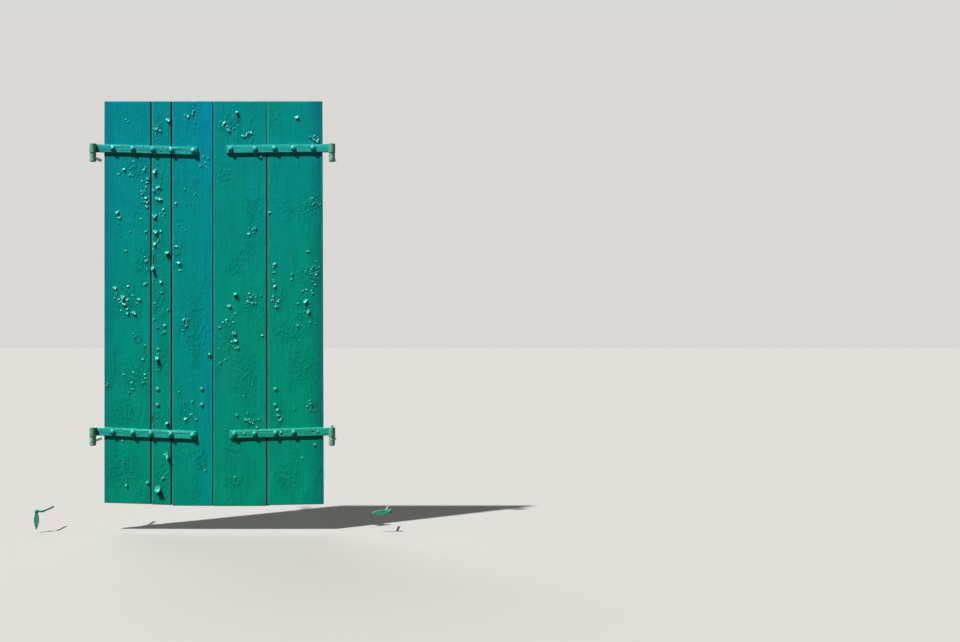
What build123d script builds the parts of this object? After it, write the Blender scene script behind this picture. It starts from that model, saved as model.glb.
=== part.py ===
from build123d import *
from math import cos, radians, sin
import os

# One window's pair of ledged plank shutters: two leaves on strap hinges and wall pintles, the locking bar
# on their inside, and the two dogs in the wall that hold the opened leaves back.
# Millimetres, seen from the street: +X right, +Y into the wall, +Z up. y = 0 is the wall's face, and the
# origin is the centre of the four pintle tails.

# Leaves
LEAF_WIDTH = 467.5
MEETING_GAP = 5.0
LEAF_TOP = 854.5
RIGHT_FOOT_FLARE = 6.0
LEAF_PROUD = 8.0

# Boards and the ledgers behind them
BOARD_THICKNESS = 27.0
LEFT_OUTER_BOARD = 199.0
LEFT_MIDDLE_BOARD = 83.0
RIGHT_OUTER_BOARD = 234.5
BOARD_GAP = 6.0
BOARD_ARRIS = 1.5
LEFT_OUTER_FEET = (-880.0, -886.0)
LEFT_MIDDLE_FEET = (-887.0, -890.0)
LEFT_INNER_FEET = (-892.5, -893.5)
RIGHT_INNER_FEET = (-894.5, -893.5)
RIGHT_OUTER_FEET = (-890.5, -886.0)
TONGUE_THICKNESS = 8.0
TONGUE_REACH = 8.0
TONGUE_CLEARANCE = 0.4
LEDGER_THICKNESS = 27.0
LEDGER_HEIGHT = 110.0
LEDGER_SETBACK = 15.0
LEDGER_BEVEL = 7.0

# Strap hinges, each with an eye rolled from its own bar
HINGE_OFFSET = 45.0
STRAP_HEIGHT = 35.0
STRAP_THICKNESS = 8.0
STRAP_ARRIS = 1.2
STRAP_TIP_BEVEL = 4.0
STRAP_LEVEL_RUN = 18.0
PIN_RADIUS = 6.0
PIN_CLEARANCE = 0.05
SEAM_GAP = 0.6
UPPER_LEFT_LENGTH = 448.0
UPPER_LEFT_DROP = 13.0
UPPER_LEFT_BOLTS = (84.0, 170.0, 257.0, 338.0, 432.0)
LOWER_LEFT_LENGTH = 443.0
LOWER_LEFT_DROP = 17.0
LOWER_LEFT_BOLTS = (84.0, 169.0, 248.0, 334.0, 429.0)
UPPER_RIGHT_LENGTH = 456.0
UPPER_RIGHT_DROP = 5.0
UPPER_RIGHT_BOLTS = (82.5, 167.0, 248.0, 332.5, 438.0)
LOWER_RIGHT_LENGTH = 442.0
LOWER_RIGHT_DROP = 13.0
LOWER_RIGHT_BOLTS = (165.0, 244.0, 333.5, 422.5)
LOWER_RIGHT_SCREWS = (60.5, 220.0, 378.0)
LOWER_RIGHT_EMPTY_HOLE = 82.0

# Wall pintles
TAIL_SPACING = 1223.0
TAIL_RADIUS = 7.0
TAIL_DEPTH = 100.0
TAIL_BEVEL = 3.0
SHOULDER_RADIUS = 9.5
BARREL_RADIUS = 13.5
BARREL_HEIGHT = 41.0
BARREL_ROUNDING = 5.0
RING_RADIUS = 15.5
RING_THICKNESS = 2.0
PIN_PROUD = 2.0
LONG_PIN_PROUD = 11.0
PIN_BEVEL = 1.5

# Domed bolts, their washers and nuts
BOLT_RADIUS = 4.0
BOLT_HOLE_CLEARANCE = 0.25
DOME_RADIUS = 10.0
DOME_HEIGHT = 10.0
DOME_RIM = 2.0
WASHER_RADIUS = 12.0
WASHER_THICKNESS = 2.0
NUT_ACROSS_FLATS = 13.0
NUT_HEIGHT = 6.5
BOLT_END_PROUD = 3.0

# Round-headed strap screws and countersunk ledger screws
SCREW_RADIUS = 2.5
SCREW_LENGTH = 28.0
SCREW_HEAD_RADIUS = 6.5
SCREW_HEAD_HEIGHT = 3.5
SCREW_RECESS_RADIUS = 2.0
SCREW_RECESS_DEPTH = 1.5
LEDGER_SCREW_LENGTH = 42.0
LEDGER_SCREW_HEAD_RADIUS = 4.5
LEDGER_SCREW_RISE = 36.0

# Locking bar, its pivot plate and its two hooks, on the inside
BAR_LEVEL = -423.7
BAR_HEIGHT = 30.0
BAR_THICKNESS = 6.0
BAR_END_REACH = 36.0
BAR_EYE_RADIUS = 18.0
BAR_STANDOFF = 11.0
BAR_REST_LEAN = 6.0
BAR_RUNNING_GAP = 0.3
PIVOT_FROM_MEETING = 238.0
LEFT_HOOK_FROM_MEETING = 48.4
RIGHT_HOOK_FROM_MEETING = 269.1
PLATE_THICKNESS = 5.0
PLATE_HEIGHT = 98.0
PIVOT_PLATE_WIDTH = 66.0
BRACKET_BOLT_SPACING = 67.8
STUD_RADIUS = 6.0
STUD_COLLAR_RADIUS = 11.0
STUD_HEAD_RADIUS = 10.0
STUD_HEAD_HEIGHT = 4.0
STOP_RADIUS = 4.0
STOP_ALONG_BAR = 24.0
HOOK_WIDTH = 32.0
HOOK_WALL = 5.5
HOOK_LIP_RISE = 12.0
HOOK_LIP_FLARE = 6.0
HOOK_SLOT_PLAY = 1.5

# Dogs in the wall beside the opened leaves
LEFT_DOG_X = -718.0
LEFT_DOG_SHIFT = -25.0
RIGHT_DOG_X = 750.0
RIGHT_DOG_SHIFT = 18.0
DOG_LEVEL = -909.0
DOG_RADIUS = 5.0
DOG_DEPTH = 80.0
DOG_BEND = 9.0
DOG_HEAD_RADIUS = 8.0
DOG_HEAD_THICKNESS = 11.0
RIVET_RADIUS = 3.0
RIVET_HEAD_RADIUS = 6.0
RIVET_HEAD_HEIGHT = 3.0
CATCH_THICKNESS = 4.0
CATCH_LENGTH = 79.0
CATCH_WIDEST_AT = 36.0
CATCH_TIP_ASIDE = 1.5
CATCH_HALF_WIDTH = 10.5
CATCH_NECK = 5.5
CATCH_HEAD_RADIUS = 8.5
CATCH_BEVEL = 0.8
CATCH_TO_LEAF = 4.0
RIGHT_CATCH_TIP_FALL = 6.0

# Places that follow from the sizes above
MEETING_X = MEETING_GAP / 2
HINGE_EDGE_X = MEETING_X + LEAF_WIDTH
HINGE_X = HINGE_EDGE_X + HINGE_OFFSET
FRONT_Y = -LEAF_PROUD
INNER_Y = FRONT_Y + BOARD_THICKNESS
LEDGER_BACK_Y = INNER_Y + LEDGER_THICKNESS
EYE_BORE = PIN_RADIUS + PIN_CLEARANCE
EYE_RADIUS = EYE_BORE + STRAP_THICKNESS
HINGE_Y = FRONT_Y - EYE_RADIUS
STRAP_FRONT_Y = FRONT_Y - STRAP_THICKNESS
UPPER_TAIL_Z = TAIL_SPACING / 2
LOWER_TAIL_Z = -TAIL_SPACING / 2
EYE_ABOVE_TAIL = BARREL_HEIGHT / 2 + RING_THICKNESS + STRAP_HEIGHT / 2
PLATE_Y = INNER_Y + PLATE_THICKNESS
BAR_Y = PLATE_Y + BAR_STANDOFF
BAR_BACK_Y = BAR_Y + BAR_THICKNESS
OPEN_LEAF_INNER_Y = 2 * HINGE_Y - INNER_Y
CATCH_BACK_Y = OPEN_LEAF_INNER_Y - CATCH_TO_LEAF
CATCH_FRONT_Y = CATCH_BACK_Y - CATCH_THICKNESS
BRACKET_LEVELS = (BAR_LEVEL + BRACKET_BOLT_SPACING / 2, BAR_LEVEL - BRACKET_BOLT_SPACING / 2)
PIVOT_X = -PIVOT_FROM_MEETING
LEFT_HOOK_X = -LEFT_HOOK_FROM_MEETING
RIGHT_HOOK_X = RIGHT_HOOK_FROM_MEETING
BOLT_HOLE = BOLT_RADIUS + BOLT_HOLE_CLEARANCE
TO_STREET = Rot(90, 0, 0)
TO_WALL = Rot(-90, 0, 0)

STRAPS = {
    "upper_left": (-1, UPPER_TAIL_Z, UPPER_LEFT_LENGTH, UPPER_LEFT_DROP, UPPER_LEFT_BOLTS),
    "lower_left": (-1, LOWER_TAIL_Z, LOWER_LEFT_LENGTH, LOWER_LEFT_DROP, LOWER_LEFT_BOLTS),
    "upper_right": (1, UPPER_TAIL_Z, UPPER_RIGHT_LENGTH, UPPER_RIGHT_DROP, UPPER_RIGHT_BOLTS),
    "lower_right": (1, LOWER_TAIL_Z, LOWER_RIGHT_LENGTH, LOWER_RIGHT_DROP, LOWER_RIGHT_BOLTS),
}


def slab(outline, front_y, thickness):
    """A flat piece parallel to the wall: an outline of (x, z) points, thickened towards the wall."""
    wire = Polyline(*[(x, front_y, z) for x, z in outline], close=True)
    return extrude(make_face(wire), thickness, dir=(0, 1, 0))


def rod(radius, length):
    """A round rod from the origin up +Z."""
    return Cylinder(radius, length, align=(Align.CENTER, Align.CENTER, Align.MIN))


def hole(x, z, radius, front_y, back_y):
    """The cutter of a hole square to the wall, a little longer than what it goes through."""
    run = back_y - front_y + 2
    return Pos(x, front_y - 1, z) * TO_WALL * rod(radius, run)


def domed_shank(head_radius, head_height, rim, shank_radius, shank_length):
    """A domed head above z = 0 with its shank below, turned about Z."""
    rise = head_height - rim
    ball = (head_radius**2 + rise**2) / (2 * rise)
    half_way = head_radius / 2
    shoulder = head_height - ball + (ball**2 - half_way**2) ** 0.5
    dome = ThreePointArc((0, 0, head_height), (half_way, 0, shoulder), (head_radius, 0, rim))
    side = Polyline(
        (head_radius, 0, rim),
        (head_radius, 0, 0),
        (shank_radius, 0, 0),
        (shank_radius, 0, -shank_length),
        (0, 0, -shank_length),
        (0, 0, head_height),
    )
    return revolve(make_face([dome, side]), Axis.Z)


def fall(name, along):
    """How far a strap has dropped at a distance from its hinge axis; it runs level past the ring first."""
    length, drop = STRAPS[name][2:4]
    return drop * max(0, along - STRAP_LEVEL_RUN) / (length - STRAP_LEVEL_RUN)


def strap_point(name, along):
    """The x and z of a point on a strap's middle line, at a distance from its hinge axis."""
    side, tail_z = STRAPS[name][:2]
    return side * (HINGE_X - along), tail_z + EYE_ABOVE_TAIL - fall(name, along)


def strap_bolt_places(name):
    """Where the bolts of one strap go through the leaf."""
    return [strap_point(name, along) for along in STRAPS[name][4]]


def bracket_places(x_places):
    """The two bolt places of each inside bracket."""
    return [(x, z) for x in x_places for z in BRACKET_LEVELS]


def ledger_screw_places(name, board_centres):
    """Two screws in each board, one above and one below the row of bolts."""
    z = ledger_level(name)
    return [(x, z + rise) for x in board_centres for rise in (LEDGER_SCREW_RISE, -LEDGER_SCREW_RISE)]


def ledger_level(name):
    """A ledger lies level behind the middle of its strap."""
    tail_z, drop = STRAPS[name][1], STRAPS[name][3]
    return tail_z + EYE_ABOVE_TAIL - drop / 2


def board(start, end, feet, flare, tongued, grooved):
    """A board from x = start to x = end, with a tongue on its right edge and a groove in its left one.

    Its foot is sawn on the slant between two levels. Its right edge leans out towards the foot by the flare.
    """
    middle = (FRONT_Y + INNER_Y) / 2
    tongue_front = middle - TONGUE_THICKNESS / 2
    tongue_back = middle + TONGUE_THICKNESS / 2
    tip = end + BOARD_GAP + TONGUE_REACH
    bottom_of_groove = start + TONGUE_REACH + TONGUE_CLEARANCE
    section = [(start + BOARD_ARRIS, FRONT_Y), (end - BOARD_ARRIS, FRONT_Y), (end, FRONT_Y + BOARD_ARRIS)]
    if tongued:
        section += [(end, tongue_front), (tip, tongue_front), (tip, tongue_back), (end, tongue_back)]
    section += [(end, INNER_Y), (start, INNER_Y)]
    if grooved:
        groove_front = tongue_front - TONGUE_CLEARANCE
        groove_back = tongue_back + TONGUE_CLEARANCE
        section += [(start, groove_back), (bottom_of_groove, groove_back)]
        section += [(bottom_of_groove, groove_front), (start, groove_front)]
    section += [(start, FRONT_Y + BOARD_ARRIS)]
    lowest = min(feet)
    plank = extrude(make_face(Polyline(*[(x, y, lowest) for x, y in section], close=True)), LEAF_TOP - lowest)
    reach = tip if tongued else end - flare
    slant = (feet[1] - feet[0]) / (end - start)
    foot_at_reach = feet[0] + slant * (reach + flare - start)
    outline = [(start, LEAF_TOP), (reach, LEAF_TOP), (reach + flare, foot_at_reach), (start, feet[0])]
    return plank & slab(outline, FRONT_Y - 1, BOARD_THICKNESS + 2)


def boards():
    """The boards from left to right: leaf, start, end, feet, flare, and whether tongued and grooved."""
    first_end = -HINGE_EDGE_X + LEFT_OUTER_BOARD
    second_start = first_end + BOARD_GAP
    second_end = second_start + LEFT_MIDDLE_BOARD
    third_start = second_end + BOARD_GAP
    last_start = HINGE_EDGE_X - RIGHT_OUTER_BOARD
    last_end = HINGE_EDGE_X + RIGHT_FOOT_FLARE
    return {
        "left_board_1": (-1, -HINGE_EDGE_X, first_end, LEFT_OUTER_FEET, 0, True, False),
        "left_board_2": (-1, second_start, second_end, LEFT_MIDDLE_FEET, 0, True, True),
        "left_board_3": (-1, third_start, -MEETING_X, LEFT_INNER_FEET, 0, False, True),
        "right_board_1": (1, MEETING_X, last_start - BOARD_GAP, RIGHT_INNER_FEET, 0, True, False),
        "right_board_2": (1, last_start, last_end, RIGHT_OUTER_FEET, RIGHT_FOOT_FLARE, False, True),
    }


def ledger(name, screw_places):
    """A batten behind one strap, bevelled all round its inner face and drilled for bolts and screws."""
    side = STRAPS[name][0]
    z = ledger_level(name)
    length = LEAF_WIDTH - 2 * LEDGER_SETBACK
    x = side * (MEETING_X + LEAF_WIDTH / 2)
    batten = Pos(x, INNER_Y + LEDGER_THICKNESS / 2, z) * Box(length, LEDGER_THICKNESS, LEDGER_HEIGHT)
    inner_face = batten.faces().sort_by(Axis.Y)[-1]
    batten = chamfer(inner_face.edges(), LEDGER_BEVEL)
    for hole_x, hole_z in strap_bolt_places(name):
        batten -= hole(hole_x, hole_z, BOLT_HOLE, INNER_Y, LEDGER_BACK_Y)
    for hole_x, hole_z in screw_places:
        batten -= ledger_screw(hole_x, hole_z)
    return batten


def ledger_screw(x, z):
    """A countersunk screw from the ledger's inner face, through the ledger and into a board."""
    cone = LEDGER_SCREW_HEAD_RADIUS - SCREW_RADIUS
    profile = Polyline(
        (0, 0, 0),
        (LEDGER_SCREW_HEAD_RADIUS, 0, 0),
        (SCREW_RADIUS, 0, cone),
        (SCREW_RADIUS, 0, LEDGER_SCREW_LENGTH - cone),
        (0, 0, LEDGER_SCREW_LENGTH),
        close=True,
    )
    return Pos(x, LEDGER_BACK_Y, z) * TO_STREET * revolve(make_face(profile), Axis.Z)


def strap(name):
    """A strap hinge whose bar comes off the back of its eye, with the seam where the roll meets the bar."""
    side, tail_z, length, drop, bolts = STRAPS[name]
    half = STRAP_HEIGHT / 2
    tip = length - STRAP_TIP_BEVEL
    outline = [
        (STRAP_LEVEL_RUN, half),
        (0, half),
        (0, -half),
        (STRAP_LEVEL_RUN, -half),
        (tip, -drop - half),
        (length, -drop - half + STRAP_TIP_BEVEL),
        (length, -drop + half - STRAP_TIP_BEVEL),
        (tip, -drop + half),
    ]
    bar = slab(outline, EYE_BORE, STRAP_THICKNESS)
    front = bar.faces().sort_by(Axis.Y)[0]
    bar = chamfer(front.edges().filter_by(lambda edge: edge.length > length / 2), STRAP_ARRIS)
    eye = Cylinder(EYE_RADIUS, STRAP_HEIGHT)
    over_seam = Pos(0, EYE_BORE - SEAM_GAP, 0) * Box(
        2 * EYE_RADIUS, 2 * EYE_RADIUS, 2 * STRAP_HEIGHT, align=(Align.MIN, Align.MIN, Align.CENTER)
    )
    hinge = (eye - over_seam) + bar - Cylinder(EYE_BORE, 2 * STRAP_HEIGHT)
    drilled = [(along, BOLT_HOLE) for along in bolts]
    if name == "lower_right":
        drilled += [(along, SCREW_RADIUS + BOLT_HOLE_CLEARANCE) for along in LOWER_RIGHT_SCREWS]
        drilled += [(LOWER_RIGHT_EMPTY_HOLE, BOLT_HOLE)]
    for along, radius in drilled:
        hinge -= hole(along, -fall(name, along), radius, EYE_BORE, EYE_RADIUS)
    if side > 0:
        hinge = mirror(hinge, Plane.YZ)
    return Pos(side * HINGE_X, HINGE_Y, tail_z + EYE_ABOVE_TAIL) * hinge


def pintle(side, tail_z, pin_proud):
    """A forged pintle: a barrel with a pin on it, a shoulder that stops at the wall, and a round tail."""
    barrel = Cylinder(BARREL_RADIUS, BARREL_HEIGHT)
    lower_rim = barrel.edges().sort_by(Axis.Z)[0]
    barrel = fillet(lower_rim, BARREL_ROUNDING)
    pin = rod(PIN_RADIUS, EYE_ABOVE_TAIL + STRAP_HEIGHT / 2 + pin_proud)
    pin = chamfer(pin.edges().sort_by(Axis.Z)[-1], PIN_BEVEL)
    tail = rod(TAIL_RADIUS, TAIL_DEPTH - HINGE_Y)
    tail = chamfer(tail.edges().sort_by(Axis.Z)[-1], TAIL_BEVEL)
    shoulder = rod(SHOULDER_RADIUS, -HINGE_Y)
    return Pos(side * HINGE_X, HINGE_Y, tail_z) * (barrel + pin + TO_WALL * (shoulder + tail))


def pintle_ring(side, tail_z):
    """The thin ring that an eye turns on."""
    ring = rod(RING_RADIUS, RING_THICKNESS) - rod(EYE_BORE, RING_THICKNESS)
    return Pos(side * HINGE_X, HINGE_Y, tail_z + BARREL_HEIGHT / 2) * ring


def bolts(places, head_y, grip):
    """Domed bolts with their heads on head_y, long enough for what they grip and for the nut."""
    length = grip + NUT_HEIGHT + BOLT_END_PROUD
    one = TO_STREET * domed_shank(DOME_RADIUS, DOME_HEIGHT, DOME_RIM, BOLT_RADIUS, length)
    return Compound([Pos(x, head_y, z) * one for x, z in places])


def washers(places, seat_y):
    """Round washers on a seat that faces inwards."""
    one = TO_WALL * (rod(WASHER_RADIUS, WASHER_THICKNESS) - rod(BOLT_HOLE, WASHER_THICKNESS))
    return Compound([Pos(x, seat_y, z) * one for x, z in places])


def nuts(places, seat_y):
    """Hexagon nuts on a seat that faces inwards."""
    corner_radius = NUT_ACROSS_FLATS / 2 / cos(radians(30))
    blank = extrude(RegularPolygon(corner_radius, 6), NUT_HEIGHT)
    one = TO_WALL * (blank - rod(BOLT_HOLE, NUT_HEIGHT))
    return Compound([Pos(x, seat_y, z) * one for x, z in places])


def strap_screw(x, z):
    """A round-headed screw with a socket in its head."""
    rim = SCREW_HEAD_HEIGHT / 4
    screw = domed_shank(SCREW_HEAD_RADIUS, SCREW_HEAD_HEIGHT, rim, SCREW_RADIUS, SCREW_LENGTH)
    screw -= Pos(0, 0, SCREW_HEAD_HEIGHT - SCREW_RECESS_DEPTH) * rod(SCREW_RECESS_RADIUS, SCREW_HEAD_HEIGHT)
    return Pos(x, STRAP_FRONT_Y, z) * TO_STREET * screw


def flat_plate(x, width):
    """A plate on the boards' inner face, drilled for its two bolts."""
    plate = Pos(x, (INNER_Y + PLATE_Y) / 2, BAR_LEVEL) * Box(width, PLATE_THICKNESS, PLATE_HEIGHT)
    return drilled_for_brackets(plate, x)


def drilled_for_brackets(piece, x):
    """The piece with the two bolt holes of a bracket at x."""
    for place_x, place_z in bracket_places([x]):
        piece -= hole(place_x, place_z, BOLT_HOLE, INNER_Y, PLATE_Y)
    return piece


def stop_place():
    """The stop's centre: beside the bar's hinge-side edge when the bar leans back at rest."""
    lean = radians(BAR_REST_LEAN)
    aside = BAR_HEIGHT / 2 + BAR_RUNNING_GAP + STOP_RADIUS
    x = PIVOT_X - STOP_ALONG_BAR * sin(lean) - aside * cos(lean)
    z = BAR_LEVEL + STOP_ALONG_BAR * cos(lean) - aside * sin(lean)
    return x, z


def pivot_plate():
    """The plate under the bar's pivot, drilled for bolts, stud and stop."""
    stop_x, stop_z = stop_place()
    plate = flat_plate(PIVOT_X, PIVOT_PLATE_WIDTH)
    plate -= hole(PIVOT_X, BAR_LEVEL, STUD_RADIUS, INNER_Y, PLATE_Y)
    plate -= hole(stop_x, stop_z, STOP_RADIUS, INNER_Y, PLATE_Y)
    return plate


def pivot_stud():
    """The stud that the bar turns on: a collar that holds the bar off the nuts, and a riveted head."""
    run = BAR_Y - BAR_RUNNING_GAP - PLATE_Y
    collar = Pos(0, PLATE_Y, 0) * TO_WALL * rod(STUD_COLLAR_RADIUS, run)
    head_y = BAR_BACK_Y + BAR_RUNNING_GAP
    rim = STUD_HEAD_HEIGHT / 4
    head = domed_shank(STUD_HEAD_RADIUS, STUD_HEAD_HEIGHT, rim, STUD_RADIUS, head_y - INNER_Y)
    return Pos(PIVOT_X, 0, BAR_LEVEL) * (collar + Pos(0, head_y, 0) * TO_WALL * head)


def stop_pin():
    """The pin that the bar leans on when it stands up."""
    x, z = stop_place()
    return Pos(x, INNER_Y, z) * TO_WALL * rod(STOP_RADIUS, BAR_BACK_Y - INNER_Y)


def hook(x):
    """An upward hook forged with its plate: the pad, the shelf that carries the bar, and the flared lip."""
    half = PLATE_HEIGHT / 2
    slot_front = BAR_Y - HOOK_SLOT_PLAY
    slot_back = BAR_BACK_Y + HOOK_SLOT_PLAY
    shelf_top = -BAR_HEIGHT / 2 - BAR_RUNNING_GAP
    shelf_bottom = shelf_top - HOOK_WALL
    lip_back = slot_back + HOOK_WALL
    lip_top = HOOK_LIP_RISE + HOOK_LIP_FLARE
    profile = [
        (INNER_Y, -half),
        (PLATE_Y, -half),
        (PLATE_Y, shelf_bottom),
        (lip_back - HOOK_WALL / 2, shelf_bottom),
        (lip_back, shelf_bottom + HOOK_WALL / 2),
        (lip_back, HOOK_LIP_RISE),
        (lip_back + HOOK_LIP_FLARE, lip_top),
        (slot_back + HOOK_LIP_FLARE, lip_top),
        (slot_back, HOOK_LIP_RISE),
        (slot_back, shelf_top),
        (slot_front, shelf_top),
        (slot_front, HOOK_LIP_RISE),
        (PLATE_Y, HOOK_LIP_RISE + slot_front - PLATE_Y),
        (PLATE_Y, half),
        (INNER_Y, half),
    ]
    left = x - HOOK_WIDTH / 2
    wire = Polyline(*[(left, y, BAR_LEVEL + z) for y, z in profile], close=True)
    body = extrude(make_face(wire), HOOK_WIDTH, dir=(1, 0, 0))
    return drilled_for_brackets(body, x)


def locking_bar():
    """The bar at rest, upright and leaning back on its stop: a round eye, a flat bar and a rounded end."""
    reach = RIGHT_HOOK_X - PIVOT_X + BAR_END_REACH
    run = reach - BAR_HEIGHT / 2
    flat = Pos(0, 0, run / 2) * Box(BAR_HEIGHT, BAR_THICKNESS, run)
    blank = flat + TO_WALL * Cylinder(BAR_EYE_RADIUS, BAR_THICKNESS)
    blank += Pos(0, 0, run) * TO_WALL * Cylinder(BAR_HEIGHT / 2, BAR_THICKNESS)
    blank -= TO_WALL * Cylinder(STUD_RADIUS + PIN_CLEARANCE, 2 * BAR_THICKNESS)
    return Pos(PIVOT_X, (BAR_Y + BAR_BACK_Y) / 2, BAR_LEVEL) * Rot(0, -BAR_REST_LEAN, 0) * blank


def dog_shank(x, shift):
    """A round shank out of the wall, bent sideways to the flat head that carries the catch."""
    head_middle = CATCH_BACK_Y + DOG_HEAD_THICKNESS / 2
    start = (x, DOG_DEPTH, DOG_LEVEL)
    corner = (x, head_middle, DOG_LEVEL)
    end = (x + shift, head_middle, DOG_LEVEL)
    path = FilletPolyline(start, corner, end, radius=DOG_BEND)
    shank = sweep(Pos(*start) * TO_STREET * Circle(DOG_RADIUS), path)
    head = Pos(*end) * TO_WALL * Cylinder(DOG_HEAD_RADIUS, DOG_HEAD_THICKNESS)
    head_back = CATCH_BACK_Y + DOG_HEAD_THICKNESS
    return shank + head - hole(x + shift, DOG_LEVEL, RIVET_RADIUS, CATCH_BACK_Y, head_back)


def dog_rivet(x):
    """The rivet through a dog's head and its catch."""
    head_y = CATCH_FRONT_Y - BAR_RUNNING_GAP
    run = CATCH_BACK_Y + DOG_HEAD_THICKNESS - head_y
    rivet = domed_shank(RIVET_HEAD_RADIUS, RIVET_HEAD_HEIGHT, RIVET_HEAD_HEIGHT / 4, RIVET_RADIUS, run)
    return Pos(x, head_y, DOG_LEVEL) * TO_STREET * rivet


def catch(x, turn):
    """A leaf-shaped catch hung from its rounded head and turned about its rivet."""
    tip = (-CATCH_TIP_ASIDE, 0, -CATCH_LENGTH)
    neck_left = (-CATCH_NECK, 0, -CATCH_NECK)
    neck_right = (CATCH_NECK, 0, -CATCH_NECK)
    left = Spline(neck_left, (-CATCH_HALF_WIDTH, 0, -CATCH_WIDEST_AT), tip)
    right = Spline(tip, (CATCH_HALF_WIDTH, 0, -CATCH_WIDEST_AT), neck_right)
    blade = extrude(make_face([left, right, Line(neck_right, neck_left)]), CATCH_THICKNESS, dir=(0, 1, 0))
    head = Pos(0, CATCH_THICKNESS / 2, 0) * TO_WALL * Cylinder(CATCH_HEAD_RADIUS, CATCH_THICKNESS)
    piece = blade + head
    piece = chamfer(piece.faces().sort_by(Axis.Y)[0].edges(), CATCH_BEVEL)
    piece -= hole(0, 0, RIVET_RADIUS + PIN_CLEARANCE, 0, CATCH_THICKNESS)
    return Pos(x, CATCH_FRONT_Y, DOG_LEVEL) * Rot(0, turn, 0) * piece


def build():
    """Every node of the shutters, by name."""
    nodes = {}
    board_sizes = boards()
    centres = {-1: [], 1: []}
    for side, start, end, feet, flare, tongued, grooved in board_sizes.values():
        centres[side].append((start + end - flare) / 2)
    brackets = {-1: [PIVOT_X, LEFT_HOOK_X], 1: [RIGHT_HOOK_X]}
    leaf_side = {-1: "left", 1: "right"}
    bolt_places = {-1: [], 1: []}
    screw_places = {-1: [], 1: []}
    for name, (side, tail_z, length, drop, offsets) in STRAPS.items():
        bolt_places[side] += strap_bolt_places(name)
        screw_places[side] += ledger_screw_places(name, centres[side])

    for name, (side, start, end, feet, flare, tongued, grooved) in board_sizes.items():
        plank = board(start, end, feet, flare, tongued, grooved)
        near = [place for place in bolt_places[side] + bracket_places(brackets[side])
                if start - BOLT_HOLE < place[0] < end + BOARD_GAP + TONGUE_REACH + BOLT_HOLE]
        for x, z in near:
            plank -= hole(x, z, BOLT_HOLE, FRONT_Y, INNER_Y)
        for x, z in screw_places[side]:
            if start < x < end:
                plank -= ledger_screw(x, z)
        if side > 0:
            for along in LOWER_RIGHT_SCREWS:
                x, z = strap_point("lower_right", along)
                if start < x < end:
                    plank -= strap_screw(x, z)
        nodes[name] = plank

    for name, (side, tail_z, length, drop, offsets) in STRAPS.items():
        places = strap_bolt_places(name)
        pin_proud = LONG_PIN_PROUD if name == "lower_right" else PIN_PROUD
        nodes[name + "_pintle"] = pintle(side, tail_z, pin_proud)
        nodes[name + "_strap"] = strap(name)
        nodes[name + "_ledger"] = ledger(name, ledger_screw_places(name, centres[side]))
        grip = LEDGER_BACK_Y + WASHER_THICKNESS - STRAP_FRONT_Y
        nodes[name + "_strap_bolts"] = bolts(places, STRAP_FRONT_Y, grip)
        nodes[name + "_strap_washers"] = washers(places, LEDGER_BACK_Y)
        nodes[name + "_strap_nuts"] = nuts(places, LEDGER_BACK_Y + WASHER_THICKNESS)
    nodes["pintle_rings"] = Compound([pintle_ring(entry[0], entry[1]) for entry in STRAPS.values()])
    nodes["lower_right_strap_screws"] = Compound(
        [strap_screw(*strap_point("lower_right", along)) for along in LOWER_RIGHT_SCREWS]
    )

    for side, label in leaf_side.items():
        places = bracket_places(brackets[side])
        nodes[label + "_ledger_screws"] = Compound([ledger_screw(x, z) for x, z in screw_places[side]])
        nodes[label + "_bracket_bolts"] = bolts(places, FRONT_Y, PLATE_Y - FRONT_Y)
        nodes[label + "_bracket_nuts"] = nuts(places, PLATE_Y)

    nodes["bar_pivot_plate"] = pivot_plate()
    nodes["bar_pivot_stud"] = pivot_stud()
    nodes["bar_stop_pin"] = stop_pin()
    nodes["left_bar_hook"] = hook(LEFT_HOOK_X)
    nodes["right_bar_hook"] = hook(RIGHT_HOOK_X)
    nodes["locking_bar"] = locking_bar()

    dogs = {
        "left": (LEFT_DOG_X, LEFT_DOG_SHIFT, 0),
        "right": (RIGHT_DOG_X, RIGHT_DOG_SHIFT, 90 - RIGHT_CATCH_TIP_FALL),
    }
    for label, (x, shift, turn) in dogs.items():
        nodes[label + "_dog_shank"] = dog_shank(x, shift)
        nodes[label + "_dog_rivet"] = dog_rivet(x + shift)
        nodes[label + "_dog_catch"] = catch(x + shift, turn)
    return nodes


os.makedirs("parts", exist_ok=True)
for node_name, shape in build().items():
    export_step(shape, os.path.join("parts", node_name + ".step"))
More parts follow.
